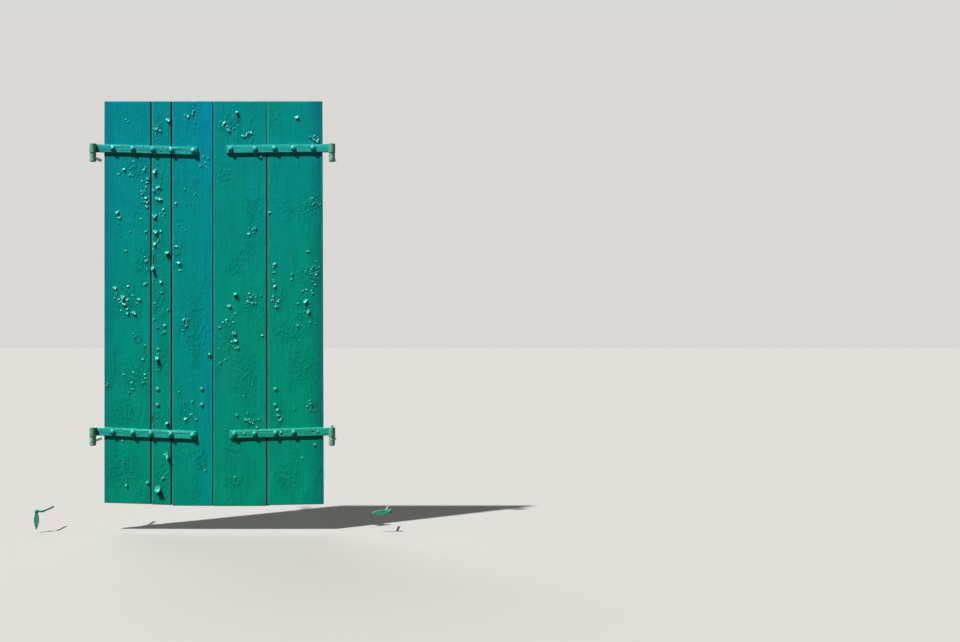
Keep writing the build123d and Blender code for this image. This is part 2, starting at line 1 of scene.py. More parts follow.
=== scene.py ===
import bpy
import math
import numpy as np
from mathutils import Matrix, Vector


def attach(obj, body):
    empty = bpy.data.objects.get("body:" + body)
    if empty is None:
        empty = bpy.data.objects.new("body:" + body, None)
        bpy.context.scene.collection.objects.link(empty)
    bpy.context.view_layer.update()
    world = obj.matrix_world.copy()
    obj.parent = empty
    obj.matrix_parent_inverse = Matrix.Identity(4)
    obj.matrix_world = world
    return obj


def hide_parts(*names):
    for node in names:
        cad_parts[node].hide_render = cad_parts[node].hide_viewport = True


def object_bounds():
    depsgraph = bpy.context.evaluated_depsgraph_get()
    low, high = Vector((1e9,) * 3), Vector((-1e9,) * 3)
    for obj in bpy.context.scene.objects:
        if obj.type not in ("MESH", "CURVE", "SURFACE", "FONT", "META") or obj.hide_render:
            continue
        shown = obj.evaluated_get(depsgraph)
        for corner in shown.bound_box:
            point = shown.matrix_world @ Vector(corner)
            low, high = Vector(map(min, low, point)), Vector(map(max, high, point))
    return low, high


# The window shutters in metres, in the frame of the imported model: +X right, +Y into the wall, +Z up.
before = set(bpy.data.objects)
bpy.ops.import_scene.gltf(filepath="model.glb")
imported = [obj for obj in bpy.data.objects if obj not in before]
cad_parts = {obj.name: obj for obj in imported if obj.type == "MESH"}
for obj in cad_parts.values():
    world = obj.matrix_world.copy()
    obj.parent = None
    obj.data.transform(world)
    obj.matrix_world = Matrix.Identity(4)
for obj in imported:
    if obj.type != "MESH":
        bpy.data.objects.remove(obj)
CAD_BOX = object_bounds()

# From the photograph to the frame: a pixel on the leaves is 4.32 mm; x = 0 is a column and z = 0 a row
PIXEL = 0.00432
COLUMN_OF_X0 = 213.0
ROW_OF_Z0 = 299.06
PHOTO_WIDTH = 960
PHOTO_HEIGHT = 642
CAMERA_DISTANCE = 6.0
SENSOR_WIDTH_MM = 36.0
CLIP_END = 200

# The sizes of the solids that the paint lies on
FRONT_Y = -0.008
INNER_Y = 0.019
LEAF_TOP = 0.8545
HINGE_EDGE = 0.47
FLARE = 0.006
# A board is its left and right edge, and the height of its foot at each.
BOARDS = {
    "left_board_1": (-0.47, -0.271, -0.88, -0.886),
    "left_board_2": (-0.265, -0.182, -0.887, -0.89),
    "left_board_3": (-0.176, -0.0025, -0.8925, -0.8935),
    "right_board_1": (0.0025, 0.2295, -0.8945, -0.8935),
    "right_board_2": (0.2355, 0.47, -0.8905, -0.886),
}
HINGE_X = 0.515
HINGE_Y = -0.02205
EYE_RADIUS = 0.01405
STRAP_FRONT_Y = -0.016
STRAP_HALF = 0.0175
LEVEL_RUN = 0.018
EYE_Z = {"upper": 0.6515, "lower": -0.5715}
# A strap is side (-1 left, 1 right), length, drop at its tip, and where its bolts are along it.
STRAPS = {
    "upper_left": (-1, 0.448, 0.013, (0.084, 0.17, 0.257, 0.338, 0.432)),
    "lower_left": (-1, 0.443, 0.017, (0.084, 0.169, 0.248, 0.334, 0.429)),
    "upper_right": (1, 0.456, 0.005, (0.0825, 0.167, 0.248, 0.3325, 0.438)),
    "lower_right": (1, 0.442, 0.013, (0.165, 0.244, 0.3335, 0.4225)),
}
EMPTY_HOLE_ALONG = 0.082
EMPTY_HOLE_RADIUS = 0.0042
BRACKET_COLUMNS = (-0.238, -0.0484, 0.2691)
BRACKET_LEVELS = (-0.3898, -0.4576)

# The paint film on the boards: its grid, its thickness, its edges, and which side of a board is which
FILM_STEP_X = 0.002
FILM_STEP_Z = 0.0025
FILM_THICKNESS = 0.0006
BOARD_ARRIS = 0.0025
JOINT_WRAP = 0.004
BACK_MARGIN = 0.0005
SIDE_BUILD_UP = 0.0002
MEETING_BUILD_UP = 0.0005
# Painted shade on the outer boards' hinge sides, as a share of the gaps' darkening
OUTER_EDGE_PAINTED_SHADE = 0.08
# Lighter paint along the boards' side edges, partly wear and partly a painted highlight on the arris: its
# width and its full share
WEAR_AND_HIGHLIGHT_EDGE = 0.0035
WEAR_AND_HIGHLIGHT_FULL = 0.3
LEAF_EDGE_SIDE = {"left_board_1": 0, "right_board_1": 0, "left_board_3": 1, "right_board_2": 1}
HINGE_SIDE = {"left_board_1": 0, "right_board_2": 1}

# The places of a grid over an edge's rounding, and the room it takes, as shares of the rounding
EDGE_PLACES = (0.0, 0.12, 0.3, 0.55, 0.85)
EDGE_ROOM = 1.2
# Relief fades out towards an edge over CALM_REACH roundings, down to CALM_LEAST.
CALM_REACH = 1.5
CALM_LEAST = 0.15
# The paint is darker where the relief is this much lower than its surroundings, and this far in from the
# edge.
HOLLOW_CURVE = 0.0001
HOLLOW_FROM = 0.6

# Relief of the film: heights in metres; a cell of the noise is (across, up), in metres.
NOISE_LATTICE = 256
THREE_LAYERS = 1.75
SWELL_HEIGHT = 0.0004
SWELL_CELL = (0.09, 0.3)
GRAIN_HEIGHT = 0.00011
GRAIN_CELL = (0.008, 0.14)
COARSE_GRAIN = {"left_board_3": 1.5}
PEEL_HEIGHT = 0.0001
PEEL_CELL = (0.006, 0.012)
WRINKLE_CELL = (0.08, 0.13)
WRINKLE_OFFSET = -0.12
WRINKLE_GAIN = 1.1
WRINKLE_RANGE = (0.06, 0.7)
SWAY = 0.012
SWAY_CELL = (0.05, 0.09)
# Folds are height, power of the wrinkled share, cell, sway in x and in z, sharpness, step of the seed.
FOLDS = (
    (0.0013, 1, (0.022, 0.038), 1, 2.5, 3.0, 3),
    (0.0011, 2, (0.012, 0.016), -1, 1.5, 2.6, 8),
)
PIMPLE_HEIGHT = 0.0016
PIMPLE_CELL = (0.0065, 0.0075)
PIMPLE_FROM = 0.35
PIMPLE_POWER = 1.5
PIMPLES_ANYWHERE = 0.12
RUN_HEIGHT = 0.0016
RUN_CELL = (0.013, 0.12)
RUN_FROM = 0.68
BLISTER_STRETCH = 1.2
BLISTER_POWER = 0.7
RING_BLISTER = 30
RING_AT = 0.75
RING_WIDTH = 0.16
# Round a bare place: its ragged outline, its depth, and the lip of paint that stands up around it
RAGGED_CELL = (0.008, 0.01)
RAGGED = 0.5
BARE_EDGE = 0.25
BARE_DEPTH = 0.8 * FILM_THICKNESS
LIP_AT = 1.35
LIP_WIDTH = 0.25
LIP_SHARE = 0.5
LIP_UNEVEN = 0.8
# Under a flap or a curl: columns right, rows down, share of its width and of its height, lip in mm
UNDER_FLAP = (0.35, 0.5, 0.9, 0.8, 0.7)
UNDER_CURL = (0.6, 1.6, 1.0, 1.2, 1.0)

# Loose paint: ranges for the random draws, lengths in metres, turns in degrees, lifts in radians
FLAP_THICKNESS = 0.0005
FLAP_CLEARANCE = 0.0002
FLAP_EDGE_ANGLE = 38
FLAP_WIDENED = (1.1, 1.55)
FLAP_LENGTH = (0.45, 0.75)
FLAP_TURN = (-110, -60)
FLAP_START = (0.1, 0.35)
FLAP_END = (0.45, 0.85)
FLAP_GRID = (6, 8)
LOOSE_START = 0.2
CURL_TURN = (-90, -60)
CURL_WINDING = 1.9
CURL_GRID = (13, 11)
CHIP_SPREAD = 0.5
CHIP_FROM_EDGE = 0.004
CHIP_WIDTH = (0.004, 0.0095)
CHIP_LENGTH = (0.4, 0.8)
CHIP_TURN = (-140, -30)
CHIP_END = (0.4, 0.9)
CHIP_GRID = (4, 5)
TORN = 0.3
LOST_CORNER = 0.35
LEAN = (-0.3, 0.3)
TAPER = (0.0, 0.4)
TAPER_POWER = 1.3
BASE_BOW = 0.25
SIDE_CURL = 0.1

# The filler in the right leaf's joint: its place, how far down it starts behind the strap, its relief
FILLER_EDGES = (0.228, 0.237)
FILLER_GRID = (10, 90)
FILLER_MIDDLE = 0.2325
FILLER_HALF = 0.0045
FILLER_BELOW = 0.012
FILLER_DEPTH = 0.0024
FILLER_HEIGHT = 0.0014
FILLER_LUMPS = 0.0009
FILLER_CELL = (0.006, 0.02)
FILLER_DIRT = 0.35

# The paint on the straps and eyes; a cell of the noise is (along, across)
STRAP_PAINT = 0.0006
STRAP_START = 0.011
STRAP_STEPS = (0.0022, 0.0018)
STRAP_ARRIS = 0.0048
STRAP_LOW_ARRIS = 0.0016
STRAP_BEVELLED = 0.8
STRAP_SINK = 0.0002
BRUSH_HEIGHT = 0.00035
BRUSH_CELL = (0.045, 0.009)
RIDGE_HEIGHT = 0.00045
RIDGE_CELL = (0.09, 0.0036)
BEAD_HEIGHT = 0.0008
BEAD_ABOVE_EDGE = 0.0036
BEAD_WIDTH = 0.0014
BEAD_CELL = (0.03, 1)
BEAD_SHARE = 0.6
BEAD_UNEVEN = 0.4
PIT_DEPTH = 0.0014
PIT_CELL = (0.008, 0.006)
PIT_FROM = 0.55
PIT_RUST = 4
PIT_RUST_FROM = 0.7
LUMP_HEIGHT = 0.0012
LUMP_CELL = (0.007, 0.006)
LUMP_FROM = 0.5
POOL_HEIGHT = 0.0012
POOL_RADIUS = 0.0105
POOL_WIDTH = 0.0018
HOLE_DEPTH = 0.004
HOLE_REACH = 1.3
HOLE_RUST = (2.2, 1.8)
EYE_TURN = (118, -176)
EYE_STEPS = 76
EYE_STEP = 0.002
EYE_PAINT = 0.0005
EYE_OVERHANG = 0.0004
EYE_RIM = 0.0016
EYE_RIM_FALL = 0.45
EYE_LUMPS = 0.00045
EYE_CELL = (0.5, 0.01)
RIM_WEAR = 0.8
RIM_WEAR_CELL = (0.3, 0.01)
RIM_WEAR_FROM = 0.1

# The paint on the domed bolts: a skirt that runs out on the strap, then the dome
DOME_SIDES = 25
DOME_RINGS = 13
SKIRT_SHARE = 0.25
SKIRT_RADIUS = 0.0128
SKIRT_NARROWING = 0.0024
SKIRT_START = 0.0002
SKIRT_RISE = 0.0022
DOME_RADIUS = 0.0104
DOME_START = 0.0024
DOME_RISE = 0.0081
DOME_POWER = 0.75
DOME_LUMPS = 0.07
LUMPS_AT = 3
LUMPS_ROUND = 1.4
LUMPS_UP = 2
LUMPS_OUTWARD = 0.5
# The paint is darker round a dome's foot, up to this share of it
DOME_FOOT_DARKENING = 0.35
DARKENED_UP_TO = 0.22
# The bracket bolts' heads are lower and narrower than the solids'.
LOW_HEAD = 0.55
NARROW_HEAD = 0.84
HEAD_REACH = 0.012

# Seeds: of the loose paint's draws, and of each piece's noise
rng = np.random.default_rng(11)
LAYER_SEED = 31
BOARD_SEED = 100
FILLER_SEED = 71
STRAP_SEED = 900
EYE_SEED = 910
STRAP_SEED_STEP = 40
STRAP_BOLT_SEED = 500
BRACKET_BOLT_SEED = 700
SIDE_SEED = 50


def from_photo(column, row):
    """The x and z on the leaves' face of a pixel of the photograph."""
    return (column - COLUMN_OF_X0) * PIXEL, (ROW_OF_Z0 - row) * PIXEL


def metres(millimetres):
    return millimetres / 1000


def eased(share):
    return share * share * share * (share * (share * 6 - 15) + 10)


def noise(across, up, cell, seed):
    """Smooth noise from -1 to 1 over two arrays; cell is the size of its lumps."""
    size = NOISE_LATTICE
    lattice = np.random.default_rng(seed).uniform(-1, 1, (size, size))
    u, v = across / cell[0], up / cell[1]
    u0 = np.floor(u).astype(int)
    v0 = np.floor(v).astype(int)
    fu = eased(u - u0)
    fv = eased(v - v0)
    a = lattice[u0 % size, v0 % size]
    b = lattice[(u0 + 1) % size, v0 % size]
    c = lattice[u0 % size, (v0 + 1) % size]
    d = lattice[(u0 + 1) % size, (v0 + 1) % size]
    return (a * (1 - fu) + b * fu) * (1 - fv) + (c * (1 - fu) + d * fu) * fv


def layered(across, up, cell, seed, layers=3):
    """Noise with finer layers added, each half as large and half as strong."""
    total = np.zeros_like(across)
    for layer in range(layers):
        part = 0.5**layer
        total += part * noise(across, up, (cell[0] * part, cell[1] * part), seed + LAYER_SEED * layer)
    return total / THREE_LAYERS


def unit(value):
    return np.clip(value, 0, 1)


def bell(distance, width):
    return np.exp(-((distance / width) ** 2))


# What the photograph shows of the damage, in its pixels.
# A flap of paint is (column, row, its width in mm); it stands off at its lower side.
FLAPS = {
    "left_board_1": [
        (133.6, 161, 9), (123.8, 169, 9), (118.8, 173.6, 8), (129.5, 175, 8), (132.5, 175.6, 7),
        (143.8, 169.5, 10), (148, 178.5, 10), (147.5, 182, 9), (142.5, 193.2, 13), (146, 197.7, 10),
        (147, 202, 9), (146.5, 206, 7), (117.5, 212, 11), (119.7, 217.3, 11), (146, 231, 9),
        (125.5, 250.4, 9), (146.5, 260.7, 10), (145.2, 283.5, 10), (128.2, 285.7, 9), (114.8, 287.5, 12),
        (116.5, 290.5, 9), (122.9, 296.4, 14), (127.3, 299, 10), (121, 301.5, 10), (123.7, 303.6, 12),
        (127.3, 308.5, 9), (127.3, 312.5, 11), (133.6, 312.5, 14), (138.5, 299, 10), (137, 303, 8),
        (145.2, 345, 9), (142.5, 359, 9), (144.8, 373.8, 10), (131.9, 382.3, 9), (143.3, 382, 9),
        (126.5, 484.6, 9), (147.2, 482, 9), (126, 119.5, 7), (128, 121.5, 7),
    ],
    "left_board_2": [
        (168, 120, 12), (155.5, 128.5, 13), (160.4, 130.7, 10), (155, 171, 13), (157.5, 186.5, 13),
        (153.7, 190, 9), (157.7, 198.5, 15), (161.5, 199.5, 9), (163.5, 209, 8), (155, 215.5, 15),
        (155.3, 231.7, 18), (155, 243.3, 11), (160.4, 281.3, 12), (155, 302.7, 11), (164.8, 325, 11),
        (164, 332, 10), (157.7, 348.7, 11), (163, 477.7, 10), (155.5, 437, 9),
    ],
    "left_board_3": [
        (188, 116, 9), (208.1, 158.4, 8), (176.4, 246, 12), (178.2, 262.5, 9), (184, 319, 9),
        (186.5, 325, 8), (183, 330, 8), (185.8, 418.3, 11), (196, 419, 8), (205, 470, 7), (176, 203, 7),
        (185, 115, 7),
    ],
    "right_board_1": [
        (224.2, 122.5, 12), (226.4, 126, 10), (228, 129.5, 11), (243.4, 136, 13), (250.1, 132, 10),
        (246, 134.5, 7), (248.8, 233.5, 9), (255, 228, 9), (229, 305.4, 11), (251, 297, 10), (248, 302, 10),
        (253, 303, 9), (235.4, 313.4, 10), (226.4, 319.7, 10), (219.7, 326.8, 12), (234, 333, 12),
        (235.5, 340, 12), (237.5, 347, 12), (220.2, 362.5, 10), (236.6, 414.4, 10), (246.5, 419.3, 12),
        (250, 421.5, 9), (234.7, 476.7, 9), (262.2, 334.8, 9), (258.4, 419.3, 9), (256.9, 426.8, 9),
        (260.8, 156.6, 9),
    ],
    "right_board_2": [
        (296.5, 116.9, 12), (310, 137, 9), (314, 139, 10), (317.5, 141.5, 9), (312, 143, 8),
        (312, 197.7, 9), (269.8, 212, 9), (307.7, 250.9, 11), (292, 274, 9), (291.5, 279, 10),
        (274.2, 264, 9), (273.8, 272, 9), (274.5, 286, 12), (273, 296, 9), (278, 301, 9), (276.5, 306, 8),
        (302, 291, 9), (305.9, 300.9, 14), (308.6, 310.7, 12), (298, 303, 8), (309.5, 321.5, 8),
        (277.2, 409.5, 10), (278, 415, 11), (279, 420, 10), (314.3, 444, 10), (297.5, 325, 9),
    ],
}
# A long loose strip of paint is (column, row, width, length, how far it stands off), in mm after the place.
CURLS = {
    "left_board_1": [],
    "left_board_2": [
        (167.2, 253.5, 18, 18, 12), (153.4, 268.5, 17, 22, 12), (157.5, 358.5, 17, 24, 12),
        (167.3, 423.5, 15, 14, 10), (166.4, 455.5, 15, 30, 12), (158.6, 489, 24, 28, 13),
    ],
    "left_board_3": [(209.3, 354.5, 9, 11, 7)],
    "right_board_1": [(237, 112.8, 12, 14, 10), (235.6, 294.5, 17, 14, 10)],
    "right_board_2": [],
}
# A cluster of small chips is (column, row, half width, half height, how many).
CLUSTERS = {
    "left_board_1": [
        (136, 165, 12, 10, 10), (144, 188, 5, 26, 12), (124, 300, 12, 14, 14), (136, 376, 13, 13, 10),
        (146.5, 262, 2.5, 28, 8), (135, 335, 12, 10, 5), (120, 440, 12, 30, 5), (130, 230, 18, 20, 5),
        (108.5, 384, 3, 4, 6),
    ],
    "left_board_2": [
        (160, 180, 6, 24, 8), (159, 240, 7, 26, 9), (160, 315, 7, 34, 12), (158, 366, 6, 10, 6),
        (160, 470, 7, 22, 7), (158, 128, 4, 8, 5),
    ],
    "left_board_3": [
        (178, 255, 3, 20, 5), (186, 323, 5, 9, 8), (193, 112, 3, 9, 6), (190, 200, 14, 30, 6),
        (190, 400, 14, 30, 8), (206, 165, 4, 8, 4),
    ],
    "right_board_1": [
        (227, 125, 8, 7, 9), (247, 134, 6, 4, 6), (250, 299, 8, 8, 14), (228, 320, 10, 12, 8),
        (255, 230, 5, 7, 4), (235, 345, 6, 10, 8), (250, 421, 9, 4, 6), (240, 400, 20, 30, 5),
        (222, 350, 6, 20, 5),
    ],
    "right_board_2": [
        (314, 139, 6, 5, 12), (311, 203, 11, 9, 18), (308, 274, 9, 9, 14), (314, 270, 6, 8, 16),
        (275, 300, 6, 7, 14), (306, 308, 7, 9, 8), (279, 416, 4, 7, 8), (312, 290, 7, 5, 6),
        (273.5, 275, 2, 16, 7), (300, 330, 16, 16, 6), (290, 440, 20, 30, 5), (311, 406, 5, 6, 11),
    ],
}
# A blister is (column, row, width, height), in mm after the place; one wider than RING_BLISTER is a ring.
BLISTERS = {
    "left_board_1": [(137.5, 338.7, 36, 1.2), (118, 232, 26, 0.5), (112, 352, 30, 0.5)],
    "left_board_2": [(161, 173, 14, 0.8), (158, 318, 16, 0.8)],
    "left_board_3": [(198, 203, 18, 0.5), (192, 380, 20, 0.6)],
    "right_board_1": [(226, 118, 22, 0.8), (240, 372, 26, 0.6), (252, 296, 16, 0.8)],
    "right_board_2": [(294.5, 409.5, 14, 2.6), (286, 152, 20, 0.5), (300, 350, 24, 0.5)],
}
# A bare patch is (column, row, width, height, height of its lip), in mm after the place.
BARE_PATCHES = {
    "left_board_1": [(145.2, 351, 7, 36, 1.6)],
    "left_board_2": [(154, 260, 9, 44, 2.0), (152.9, 419.5, 7, 40, 1.6)],
    "left_board_3": [(193.4, 114, 5, 76, 0.8), (209.5, 356.5, 9, 24, 2.0), (185, 326, 5, 30, 0.8)],
    "right_board_1": [(238.6, 121, 9, 40, 1.2), (236.8, 298, 11, 16, 1.2)],
    "right_board_2": [(313.5, 407, 12, 26, 2.0), (315, 273, 8, 26, 0.8)],
}
# A wrinkled area is (column, row, half width, half height), all in pixels.
WRINKLES = {
    "left_board_1": [
        (138, 168, 12, 14), (144, 190, 6, 26), (125, 300, 14, 16), (136, 375, 16, 18), (142, 262, 8, 16),
        (108.5, 384, 5, 7), (128, 412, 16, 16), (125, 470, 20, 18),
    ],
    "left_board_2": [
        (157, 130, 7, 14), (158, 190, 6, 20), (158, 235, 7, 24), (158, 300, 8, 30), (160, 360, 8, 20),
        (162, 480, 8, 24), (160, 415, 8, 13),
    ],
    "left_board_3": [
        (192, 116, 8, 18), (184, 325, 8, 14), (200, 458, 10, 16), (196, 330, 14, 40), (178, 255, 6, 20),
        (188, 412, 12, 13),
    ],
    "right_board_1": [
        (228, 124, 10, 10), (248, 134, 8, 8), (250, 300, 12, 14), (232, 338, 12, 18), (225, 175, 10, 12),
        (248, 425, 14, 12), (231, 450, 14, 3), (246, 375, 14, 24), (236, 482, 12, 10),
    ],
    "right_board_2": [
        (312, 140, 8, 8), (311, 203, 12, 10), (311, 275, 12, 14), (278, 300, 10, 14), (300, 312, 16, 14),
        (280, 416, 8, 12), (290, 330, 18, 14), (311.5, 406, 7, 8), (300, 365, 14, 24), (288, 478, 14, 14),
    ],
}


def oval(x, z, column, row, half_width, half_height):
    """Distance from a photographed place, 1 at the rim of the oval given in metres."""
    px, pz = from_photo(column, row)
    return np.sqrt(((x - px) / half_width) ** 2 + ((z - pz) / half_height) ** 2)


def wrinkled(name, x, z, seed):
    """How wrinkled the film is, 0 to 1."""
    share = np.clip(WRINKLE_OFFSET + WRINKLE_GAIN * layered(x, z, WRINKLE_CELL, seed), *WRINKLE_RANGE)
    for column, row, half_width, half_height in WRINKLES[name]:
        reach = oval(x, z, column, row, half_width * PIXEL, half_height * PIXEL)
        share = np.maximum(share, bell(reach, 1))
    return share


def whole_film(name, x, z, seed):
    """Height of a board's film before it was damaged: swells, brush grain, folds, pimples and runs."""
    grain = COARSE_GRAIN.get(name, 1.0) * GRAIN_HEIGHT
    height = SWELL_HEIGHT * layered(x, z, SWELL_CELL, seed)
    height += grain * layered(x, z, GRAIN_CELL, seed + 1, 2)
    height += PEEL_HEIGHT * noise(x, z, PEEL_CELL, seed + 6)
    share = wrinkled(name, x, z, seed + 4)
    sway = SWAY * noise(x, z, SWAY_CELL, seed + 2)
    for rise, power, cell, sway_x, sway_z, sharpness, step in FOLDS:
        crossing = np.abs(layered(x + sway_x * sway, z + sway_z * sway, cell, seed + step, 2))
        height += share**power * rise * unit(1 - crossing * sharpness) ** 2
    pimples = unit(noise(x, z, PIMPLE_CELL, seed + 5) - PIMPLE_FROM)
    height += (PIMPLES_ANYWHERE + share) * PIMPLE_HEIGHT * pimples**PIMPLE_POWER
    height += RUN_HEIGHT * unit(noise(x, z, RUN_CELL, seed + 9) - RUN_FROM)
    for column, row, size, rise in BLISTERS[name]:
        reach = oval(x, z, column, row, metres(size) / 2, metres(BLISTER_STRETCH * size) / 2)
        if size > RING_BLISTER:
            height += metres(rise) * bell(reach - RING_AT, RING_WIDTH)
        else:
            height += metres(rise) * unit(1 - reach**2) ** BLISTER_POWER
    return height


def bare_places(name):
    """Where a board's film is gone, as BARE_PATCHES: the patches, and the places under flaps and curls."""
    marks = [(column, row, size, size, UNDER_FLAP) for column, row, size in FLAPS[name]]
    marks += [(column, row, wide, long, UNDER_CURL) for column, row, wide, long, lift in CURLS[name]]
    places = list(BARE_PATCHES[name])
    for column, row, wide, high, (right, down, width_share, height_share, lip) in marks:
        places.append((column + right, row + down, width_share * wide, height_share * high, lip))
    return places


def relief_of(name, x, z, seed):
    """Height of the film over a board's face, and how bare it is, over arrays of x and z."""
    height = whole_film(name, x, z, seed)
    bare = np.zeros_like(x)
    ragged = layered(x, z, RAGGED_CELL, seed + 7)
    for column, row, wide, high, lip_height in bare_places(name):
        reach = oval(x, z, column, row, metres(wide) / 2, metres(high) / 2) + RAGGED * ragged
        inside = unit((1.0 - reach) / BARE_EDGE)
        lip = bell(reach - LIP_AT, LIP_WIDTH) * unit(LIP_SHARE + LIP_UNEVEN * ragged)
        height = height * (1 - inside) - BARE_DEPTH * inside + lip * metres(lip_height)
        bare = np.maximum(bare, inside)
    return height, bare


def spaced(low, high, step, edge):
    """Places from low to high: closely spaced over the rounded edges, evenly between."""
    close = edge * np.array(EDGE_PLACES)
    room = EDGE_ROOM * edge
    count = max(2, int((high - low - 2 * room) / step))
    return np.concatenate([low + close, np.linspace(low + room, high - room, count), (high - close)[::-1]])


def linked(name, data):
    thing = bpy.data.objects.new(name, data)
    bpy.context.scene.collection.objects.link(thing)
    return thing


def grid_object(name, x, y, z, layers):
    """A smooth mesh object over a grid of points, with its named point attributes."""
    high, wide = x.shape
    points = np.stack([x, y, z], axis=-1).reshape(-1, 3)
    index = np.arange(high * wide).reshape(high, wide)
    corners = [index[:-1, :-1], index[:-1, 1:], index[1:, 1:], index[1:, :-1]]
    quads = np.stack(corners, axis=-1).reshape(-1, 4)
    mesh = bpy.data.meshes.new(name)
    mesh.vertices.add(len(points))
    mesh.vertices.foreach_set("co", points.ravel())
    mesh.loops.add(quads.size)
    mesh.loops.foreach_set("vertex_index", quads.ravel())
    mesh.polygons.add(len(quads))
    mesh.polygons.foreach_set("loop_start", np.arange(0, quads.size, 4))
    mesh.update(calc_edges=True)
    mesh.validate()
    mesh.shade_smooth()
    for layer_name, values in layers.items():
        layer = mesh.attributes.new(layer_name, "FLOAT", "POINT")
        layer.data.foreach_set("value", values.ravel().astype(np.float32))
    return linked(name, mesh)


def rounded(distance, reach, bevelled):
    """How far a rounded or bevelled edge has fallen back, at a distance from it."""
    inward = unit(1 - distance / reach)
    return reach * ((1 - bevelled) * (1 - np.sqrt(unit(1 - inward**2))) + bevelled * inward)


def skin(name, x, z, relief, front_y, arris, sides, proud, bevelled=0.0, low_arris=None, dark=(0, 0, 0, 0)):
    """Paint over a raised flat thing: its face with relief, rounded over the edges and down its four sides.

    relief is height and bareness. sides says how far in y the left, right, lower and upper side reach, dark
    how much painted shade and dirt each gets, as if it lay in a lightless gap, proud how thick their paint
    is. low_arris rounds the lower edge.
    """
    height, bare = relief
    low_arris = low_arris or arris
    edge_x = np.minimum(np.abs(x - x[:, :1]), np.abs(x[:, -1:] - x))
    edge_low = np.abs(z - z[:1, :])
    from_others = np.minimum(edge_x, np.abs(z[-1:, :] - z))
    from_edge = np.minimum(from_others, edge_low * arris / low_arris)
    rounding = np.maximum(rounded(from_others, arris, bevelled), rounded(edge_low, low_arris, bevelled))
    calm = np.clip(from_edge / (CALM_REACH * arris), CALM_LEAST, 1)
    y = front_y - FILM_THICKNESS - height * calm + rounding
    around = sum(np.roll(height, step, axis) for axis in (0, 1) for step in (1, -1)) / 4
    hollow = unit((around - height) / HOLLOW_CURVE) * unit(from_edge / arris - HOLLOW_FROM)
    outward = proud * np.sign(x[0, -1] - x[0, 0])
    left, right, low, high = sides
    gx = np.hstack([x[:, :1] - outward, x, x[:, -1:] + outward])
    gz = np.hstack([z[:, :1], z, z[:, -1:]])
    gy = np.hstack([np.full_like(y[:, :1], left), y, np.full_like(y[:, :1], right)])
    gx = np.vstack([gx[:1], gx, gx[-1:]])
    gz = np.vstack([gz[:1] - proud, gz, gz[-1:] + proud])
    gy = np.vstack([np.full_like(gy[:1], low), gy, np.full_like(gy[:1], high)])
    # How much painted shade and dirt each side gets
    gap = np.pad(np.zeros_like(x), 1)
    gap[:, 0], gap[:, -1], gap[0, :], gap[-1, :] = dark
    # Lighter along the side edges: wear and a painted highlight
    wear_and_highlight = unit(1 + WEAR_AND_HIGHLIGHT_FULL - edge_x / WEAR_AND_HIGHLIGHT_EDGE)
    layers = {"bare": np.pad(bare, 1), "hollow": np.pad(hollow, 1), "gap": gap, "wear_and_highlight": np.pad(wear_and_highlight, 1)}
    return grid_object(name, gx, gy, gz, layers)


def board_film(name, seed):
    """The paint film of one board."""
    left, right, first_foot, last_foot = BOARDS[name]
    if name == "right_board_1":
        left -= MEETING_BUILD_UP
    if name == "left_board_3":
        right += MEETING_BUILD_UP
    columns = spaced(left, right, FILM_STEP_X, BOARD_ARRIS)
    levels = spaced(0.0, LEAF_TOP - first_foot, FILM_STEP_Z, BOARD_ARRIS)
    share = levels / levels[-1]
    x = np.tile(columns, (len(share), 1))
    feet = first_foot + (last_foot - first_foot) * (columns - left) / (right - left)
    z = feet[None, :] + share[:, None] * (LEAF_TOP - feet[None, :])
    if right == HINGE_EDGE:
        x = x + FLARE * (1 - share[:, None]) * (x - left) / (right - left)
    whole = INNER_Y - BACK_MARGIN
    joint = FRONT_Y + JOINT_WRAP
    sides = [joint, joint, whole, whole]
    dark = [1, 1, 0, 0]
    if name in LEAF_EDGE_SIDE:
        sides[LEAF_EDGE_SIDE[name]] = whole
    # The hinge side gets a little painted shade
    if name in HINGE_SIDE:
        dark[HINGE_SIDE[name]] = OUTER_EDGE_PAINTED_SHADE
    relief = relief_of(name, x, z, seed)
    return skin(name + "_paint", x, z, relief, FRONT_Y, BOARD_ARRIS, sides, SIDE_BUILD_UP, dark=dark)


def flap_grid(spot, width, length, turn, start_lift, end_lift, grid):
    """A lifted flap of paint: it leaves the film at its upper side and curls out, with a torn free edge."""
    rows, columns = grid
    s = np.linspace(0, 1, rows)[:, None] * np.ones((1, columns))
    t = np.linspace(-0.5, 0.5, columns)[None, :] * np.ones((rows, 1))
    sideways = 2 * t
    torn = 1 + TORN * rng.uniform(-1, 1, (1, columns)) - LOST_CORNER * sideways[:1] ** 4 * rng.uniform(0, 1)
    lean = rng.uniform(*LEAN)
    step = length / (rows - 1)
    angle = start_lift + (end_lift - start_lift) * s
    along = np.cumsum(step * np.cos(angle), axis=0) * torn
    out = np.cumsum(step * np.sin(angle), axis=0) * torn
    taper = 1 - rng.uniform(*TAPER) * s**TAPER_POWER
    across = t * width * taper + lean * along
    base_bow = BASE_BOW * width * (1 - sideways**2) * (1 - s)
    along = along - 0.5 * length - base_bow
    out = out + SIDE_CURL * width * sideways**2 * s
    gx = spot[0] + along * math.cos(turn) - across * math.sin(turn)
    gz = spot[1] + along * math.sin(turn) + across * math.cos(turn)
    gy = FRONT_Y - FILM_THICKNESS - FLAP_CLEARANCE - out
    return grid_object("flap", gx, gy, gz, {})


def join(pieces, name):
    bpy.ops.object.select_all(action="DESELECT")
    for thing in pieces:
        thing.select_set(True)
    bpy.context.view_layer.objects.active = pieces[0]
    bpy.ops.object.join()
    pieces[0].name = name
    pieces[0].data.name = name
    return pieces[0]


